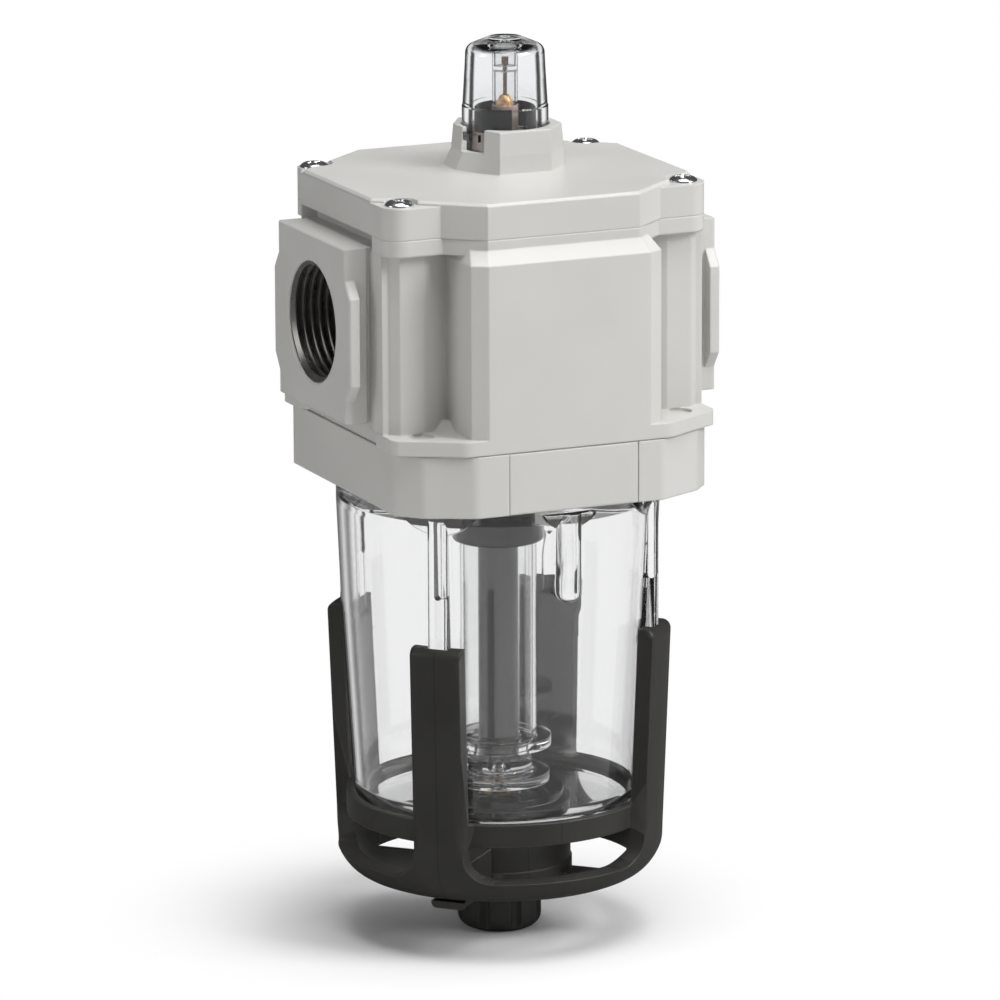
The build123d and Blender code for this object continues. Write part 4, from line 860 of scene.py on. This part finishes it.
@dataclass
class Screws:
    """The cover's pan head screws, with the cross recess that the CAD heads only hint at.

    Attributes:
        mats: the built materials.
        spots: where the screws are.
        turns: how far the first one's recess is turned, and each next one's more, in degrees.
        seat_z: height that the heads rest on.
        shank_r: radius of the shank.
        tip_r: radius that its end closes to.
        head_r: radius of the head.
        head_h: height of its flat part.
        flat_share: share of the radius that is flat.
        fall_power: how suddenly it falls off outside of that.
        fall_share: how much of the height it loses there.
        crown: what the middle is higher than the rest.
        slot_long: length of a slot of the recess.
        slot_wide: width of a slot.
        slot_deep: depth of a slot.
        slot_walls: over what length a slot's sides and its ends get to the full depth.
        steps: points round a head.
        rings: points from its middle to its edge.
    """

    mats: dict[Coat, bpy.types.Material]
    spots: tuple[tuple[float, float], ...] = (
        (-0.0417, -0.0302), (0.0417, -0.0302), (-0.0407, 0.0310), (0.0407, 0.0310))
    turns: tuple[float, float] = (25.0, 40.0)
    seat_z: float = 0.2114
    shank_r: float = 0.002
    tip_r: float = 0.0001
    head_r: float = 0.0039
    head_h: float = 0.00125
    flat_share: float = 0.55
    fall_power: float = 2.4
    fall_share: float = 0.72
    crown: float = 0.00015
    slot_long: float = 0.0048
    slot_wide: float = 0.0012
    slot_deep: float = 0.0010
    slot_walls: tuple[float, float] = (0.00022, 0.0007)
    steps: int = 96
    rings: int = 26

    def build(self) -> list[bpy.types.Object]:
        """Adds all four screws as one piece.

        Returns:
            The new piece.
        """
        verts: list[Vector] = []
        faces: list[list[int]] = []
        first, more = self.turns
        for number, (x, y) in enumerate(self.spots):
            self.screw(x, y, math.radians(first + more * number), verts, faces)
        piece = add_piece("cross_screws", verts, faces, Body.HOUSING, Coat.STEEL, self.mats,
                          smooth_angle=40.0)
        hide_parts("cover_screws")
        return [piece]

    def screw(self, x: float, y: float, turn: float, verts: list[Vector], faces: list[list[int]]) -> None:
        """Adds one screw's points and faces.

        Args:
            x: its place.
            y: its place.
            turn: how far the recess is turned, in radians.
            verts: the points so far.
            faces: the faces so far.
        """
        start = len(verts)
        end_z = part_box("cover_screws")[0].z
        shank = [(self.head_r, self.seat_z), (self.shank_r, self.seat_z), (self.shank_r, end_z),
                 (self.tip_r, end_z)]
        for k in range(self.steps):
            angle = 2 * math.pi * k / self.steps
            section = []
            for i in range(self.rings + 1):
                share = (i + 0.5) / (self.rings + 0.5)
                radius = self.head_r * share
                dip = self.recess(radius * math.cos(angle - turn), radius * math.sin(angle - turn))
                section.append((radius, self.seat_z + self.rise(share) - dip))
            verts += [Vector((x + radius * math.cos(angle), y + radius * math.sin(angle), z))
                      for radius, z in section + shank]
        width = self.rings + 1 + len(shank)
        for k in range(self.steps):
            ahead = (k + 1) % self.steps
            for i in range(width - 1):
                faces.append([start + k * width + i, start + k * width + i + 1,
                              start + ahead * width + i + 1, start + ahead * width + i])
        faces.append([start + k * width for k in range(self.steps)])
        faces.append([start + k * width + width - 1 for k in range(self.steps)][::-1])

    def rise(self, share: float) -> float:
        """The head's height over its seat.

        Args:
            share: the place's distance from the middle, as a share of the head's radius.

        Returns:
            The height, without the recess.
        """
        fall = max(0.0, (share - self.flat_share) / (1 - self.flat_share)) ** self.fall_power
        return self.head_h * (1 - fall * self.fall_share) + self.crown * (1 - share)

    def recess(self, x: float, y: float) -> float:
        """The cross recess's depth at a place on the head.

        Args:
            x: the place along one slot.
            y: the place along the other.

        Returns:
            The depth, 0 outside of both slots.
        """
        depth = 0.0
        for along, across in ((abs(x), abs(y)), (abs(y), abs(x))):
            side = (self.slot_wide / 2 - across) / self.slot_walls[0]
            end = (self.slot_long / 2 - along) / self.slot_walls[1]
            depth = max(depth, self.slot_deep * min(1.0, max(0.0, side)) * min(1.0, max(0.0, end)))
        return depth


@dataclass(frozen=True)
class SoftBox:
    """One rectangular lamp.

    Attributes:
        name: its name.
        place: where it is.
        aim: what it points at.
        wide: its width.
        high: its height.
        power: in watts.
    """

    name: str
    place: Point
    aim: Point
    wide: float
    high: float
    power: float

    def build(self) -> None:
        """Adds the lamp."""
        data = bpy.data.lights.new(self.name, "AREA")
        data.shape = "RECTANGLE"
        data.size = self.wide
        data.size_y = self.high
        data.energy = self.power
        lamp = bpy.data.objects.new(self.name, data)
        lamp.location = self.place
        lamp.rotation_euler = (Vector(self.aim) - Vector(self.place)).to_track_quat("-Z", "Y").to_euler()
        bpy.context.scene.collection.objects.link(lamp)


SOFT_BOXES = (
    SoftBox("key", place=(1.35, -1.38, 1.45), aim=(0, 0, 0.13), wide=1.0, high=1.0, power=39.5),
    SoftBox("fill", place=(-2.2, 0.2, 0.8), aim=(0, 0, 0.14), wide=0.8, high=1.2, power=8.0),
    SoftBox("top", place=(0.1, -0.35, 2.1), aim=(0, 0, 0.1), wide=1.3, high=1.3, power=31.0),
)


@dataclass
class Studio:
    """Floor, lights, world and camera. Tones are linear.

    Attributes:
        azimuth: the camera's angle round the part, in degrees.
        elevation: its height above the horizon, in degrees.
        roll: its roll, in degrees.
        distance: from the aim point.
        aim_z: height of the aim point.
        picture_px: width of the picture that the next two are measured in.
        focal_px: focal length in pixels.
        offset_px: how far left of the middle the aim point falls, in pixels.
        film: width of the camera's film, in millimetres.
        clip: nearest and farthest distance that is seen.
        floor_half: half the floor's side.
        floor_rough: its roughness.
        floor_seen: its tone where it is seen.
        floor_bounce: its tone for the light that it throws back on the object.
        floor_gloss: its tone in a glossy reflection.
        floor_fade: from what distance of the axis it goes over to white, and where it is white.
        world_light: the surroundings' tone for the light on the object.
        world_gloss: their tone in a glossy reflection.
        world_dim: their tone high up, where they are seen through glass.
        white_to: height up to which they are seen white, as a share of straight up.
        dim_from: height from which they are seen dim.
    """

    azimuth: float = -23.82
    elevation: float = 13.11
    roll: float = -0.22
    distance: float = 2.0988
    aim_z: float = 0.12054
    picture_px: float = 1000.0
    focal_px: float = 7653.7
    offset_px: float = 2.2
    film: float = 36.0
    clip: tuple[float, float] = (0.1, 50.0)
    floor_half: float = 6.0
    floor_rough: float = 0.7
    floor_seen: Tone = (0.89, 0.89, 0.89)
    floor_bounce: Tone = (0.68, 0.68, 0.67)
    floor_gloss: Tone = (0.16, 0.16, 0.16)
    floor_fade: tuple[float, float] = (0.03, 0.118)
    world_light: Tone = (0.24, 0.24, 0.245)
    world_gloss: Tone = (0.09, 0.09, 0.092)
    world_dim: Tone = (0.10, 0.10, 0.105)
    white_to: float = 0.06
    dim_from: float = 0.22

    def build(self) -> None:
        """Adds everything that isn't part of the object."""
        self.camera()
        self.floor()
        for box in SOFT_BOXES:
            box.build()
        self.world()
        bpy.context.scene.view_settings.view_transform = "Standard"

    def axes(self) -> tuple[Vector, Vector, Vector]:
        """Works out how the camera lies.

        Returns:
            Its right, up and back directions.
        """
        az, el, roll = (math.radians(a) for a in (self.azimuth, self.elevation, self.roll))
        back = Vector((math.sin(az) * math.cos(el), -math.cos(az) * math.cos(el), math.sin(el)))
        right = Vector((math.cos(az), math.sin(az), 0.0))
        up = back.cross(right)
        return (right * math.cos(roll) + up * math.sin(roll),
                -right * math.sin(roll) + up * math.cos(roll), back)

    def camera(self) -> None:
        """Puts the camera where the photograph was taken from."""
        right, up, back = self.axes()
        eye = Vector((0, 0, self.aim_z)) + self.distance * back
        back = (back - right * (self.offset_px / self.focal_px)).normalized()
        right = up.cross(back).normalized()
        up = back.cross(right)
        data = bpy.data.cameras.new("camera")
        data.sensor_width = self.film
        data.lens = self.focal_px / self.picture_px * self.film
        data.clip_start, data.clip_end = self.clip
        cam = bpy.data.objects.new("camera", data)
        turn = Matrix((right, up, back)).transposed().to_4x4()
        cam.matrix_world = Matrix.Translation(eye) @ turn
        bpy.context.scene.collection.objects.link(cam)
        bpy.context.scene.camera = cam

    def floor(self) -> None:
        """Adds a pale floor that keeps the shadow and is plain white away from it."""
        mesh = bpy.data.meshes.new("floor")
        half = self.floor_half
        mesh.from_pydata([(-half, -half, 0), (half, -half, 0), (half, half, 0), (-half, half, 0)], [],
                         [(0, 1, 2, 3)])
        mat = bpy.data.materials.new("floor_white")
        mat.use_nodes = True
        tree = mat.node_tree
        shader = tree.nodes["Principled BSDF"]
        shader.inputs["Roughness"].default_value = self.floor_rough
        path = add_node(tree, "ShaderNodeLightPath")
        tone = add_node(tree, "ShaderNodeMix", data_type="RGBA")
        tone.inputs[MIX_A].default_value = (*self.floor_seen, 1.0)
        tone.inputs[MIX_B].default_value = (*self.floor_bounce, 1.0)
        tree.links.new(path.outputs["Is Reflection Ray"], tone.inputs[0])
        tree.links.new(seen_in_gloss(tree, tone.outputs[MIX_OUT], self.floor_gloss),
                       shader.inputs["Base Color"])
        place = add_node(tree, "ShaderNodeTexCoord")
        reach = add_node(tree, "ShaderNodeVectorMath", operation="LENGTH")
        far = add_node(tree, "ShaderNodeMapRange", interpolation_type="SMOOTHSTEP")
        far.inputs["From Min"].default_value, far.inputs["From Max"].default_value = self.floor_fade
        white = add_node(tree, "ShaderNodeEmission")
        pick = add_node(tree, "ShaderNodeMixShader")
        tree.links.new(place.outputs["Object"], reach.inputs[0])
        tree.links.new(reach.outputs["Value"], far.inputs["Value"])
        tree.links.new(seen_directly(tree, far.outputs["Result"]), pick.inputs[0])
        tree.links.new(shader.outputs["BSDF"], pick.inputs[1])
        tree.links.new(white.outputs["Emission"], pick.inputs[2])
        tree.links.new(pick.outputs["Shader"], tree.nodes["Material Output"].inputs["Surface"])
        mesh.materials.append(mat)
        obj = bpy.data.objects.new("floor", mesh)
        bpy.context.scene.collection.objects.link(obj)

    def world(self) -> None:
        """Makes the surroundings: white low down where it is seen, and a dim studio for the light."""
        world = bpy.data.worlds.new("studio")
        bpy.context.scene.world = world
        world.use_nodes = True
        tree = world.node_tree
        place = add_node(tree, "ShaderNodeTexCoord")
        split = add_node(tree, "ShaderNodeSeparateXYZ")
        ramp = add_node(tree, "ShaderNodeValToRGB")
        low, high = ramp.color_ramp.elements
        low.position, low.color = self.white_to, (1.0, 1.0, 1.0, 1.0)
        high.position, high.color = self.dim_from, (*self.world_dim, 1.0)
        white = add_node(tree, "ShaderNodeMix", data_type="RGBA")
        light = add_node(tree, "ShaderNodeRGB")
        light.outputs[0].default_value = (*self.world_light, 1.0)
        tree.links.new(seen_in_gloss(tree, light.outputs[0], self.world_gloss), white.inputs[MIX_A])
        whole = add_node(tree, "ShaderNodeValue")
        whole.outputs[0].default_value = 1.0
        tree.links.new(place.outputs["Generated"], split.inputs[0])
        tree.links.new(split.outputs["Z"], ramp.inputs["Fac"])
        tree.links.new(ramp.outputs["Color"], white.inputs[MIX_B])
        tree.links.new(seen_directly(tree, whole.outputs[0]), white.inputs[0])
        tree.links.new(white.outputs[MIX_OUT], tree.nodes["Background"].inputs["Color"])


def seen_in_gloss(tree: bpy.types.NodeTree, tone: bpy.types.NodeSocket,
                  gloss: Tone) -> bpy.types.NodeSocket:
    """Gives glossy reflections a dimmer studio than the one that lights the object.

    Args:
        tree: the node tree of a part of the stage.
        tone: its tone for other rays.
        gloss: its tone in a glossy reflection.

    Returns:
        The socket with the tone for every ray.
    """
    path = add_node(tree, "ShaderNodeLightPath")
    mirror = add_node(tree, "ShaderNodeMath", operation="MULTIPLY")
    pick = add_node(tree, "ShaderNodeMix", data_type="RGBA")
    pick.inputs[MIX_B].default_value = (*gloss, 1.0)
    tree.links.new(path.outputs["Is Glossy Ray"], mirror.inputs[0])
    tree.links.new(path.outputs["Is Reflection Ray"], mirror.inputs[1])
    tree.links.new(mirror.outputs["Value"], pick.inputs[0])
    tree.links.new(tone, pick.inputs[MIX_A])
    return pick.outputs[MIX_OUT]


def seen_directly(tree: bpy.types.NodeTree, share: bpy.types.NodeSocket) -> bpy.types.NodeSocket:
    """Keeps a share for camera and glass rays, and drops it for gloss and the light on the object.

    Args:
        tree: the node tree of a part of the stage.
        share: the share from 0 to 1.

    Returns:
        The socket with the share for rays that are seen, and 0 for the rest.
    """
    path = add_node(tree, "ShaderNodeLightPath")
    seen = add_node(tree, "ShaderNodeMath", operation="MAXIMUM")
    tree.links.new(path.outputs["Is Camera Ray"], seen.inputs[0])
    tree.links.new(path.outputs["Is Transmission Ray"], seen.inputs[1])
    both = add_node(tree, "ShaderNodeMath", operation="MULTIPLY")
    tree.links.new(seen.outputs["Value"], both.inputs[0])
    tree.links.new(share, both.inputs[1])
    return both.outputs["Value"]


def dress_nodes(mats: dict[Coat, bpy.types.Material]) -> int:
    """Gives every CAD node its finish.

    Args:
        mats: the built materials.

    Returns:
        How many nodes were dressed.
    """
    done = 0
    for coat, names in NODE_COATS.items():
        for name in names:
            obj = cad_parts[name]
            if not obj.material_slots:
                obj.data.materials.append(mats[coat])
            for spot in obj.material_slots:
                spot.material = mats[coat]
            done += 1
    return done


def main() -> None:
    """Builds the scene and reports what it made."""
    logging.basicConfig(level=logging.INFO, format="%(message)s")
    groups = {tree.name: tree for tree in (mottle_group(), grain_group())}
    mats = {finish.coat: finish.build(groups) for finish in FINISHES}
    LOG.info("nodes dressed: %d", dress_nodes(mats))
    pieces = [piece for part in (Ports, Cage, Sight, Screws) for piece in part(mats).build()]
    Studio().build()
    for piece in pieces:
        LOG.info("piece %s: %d faces", piece.name, len(piece.data.polygons))


if __name__ == "__main__":
    main()
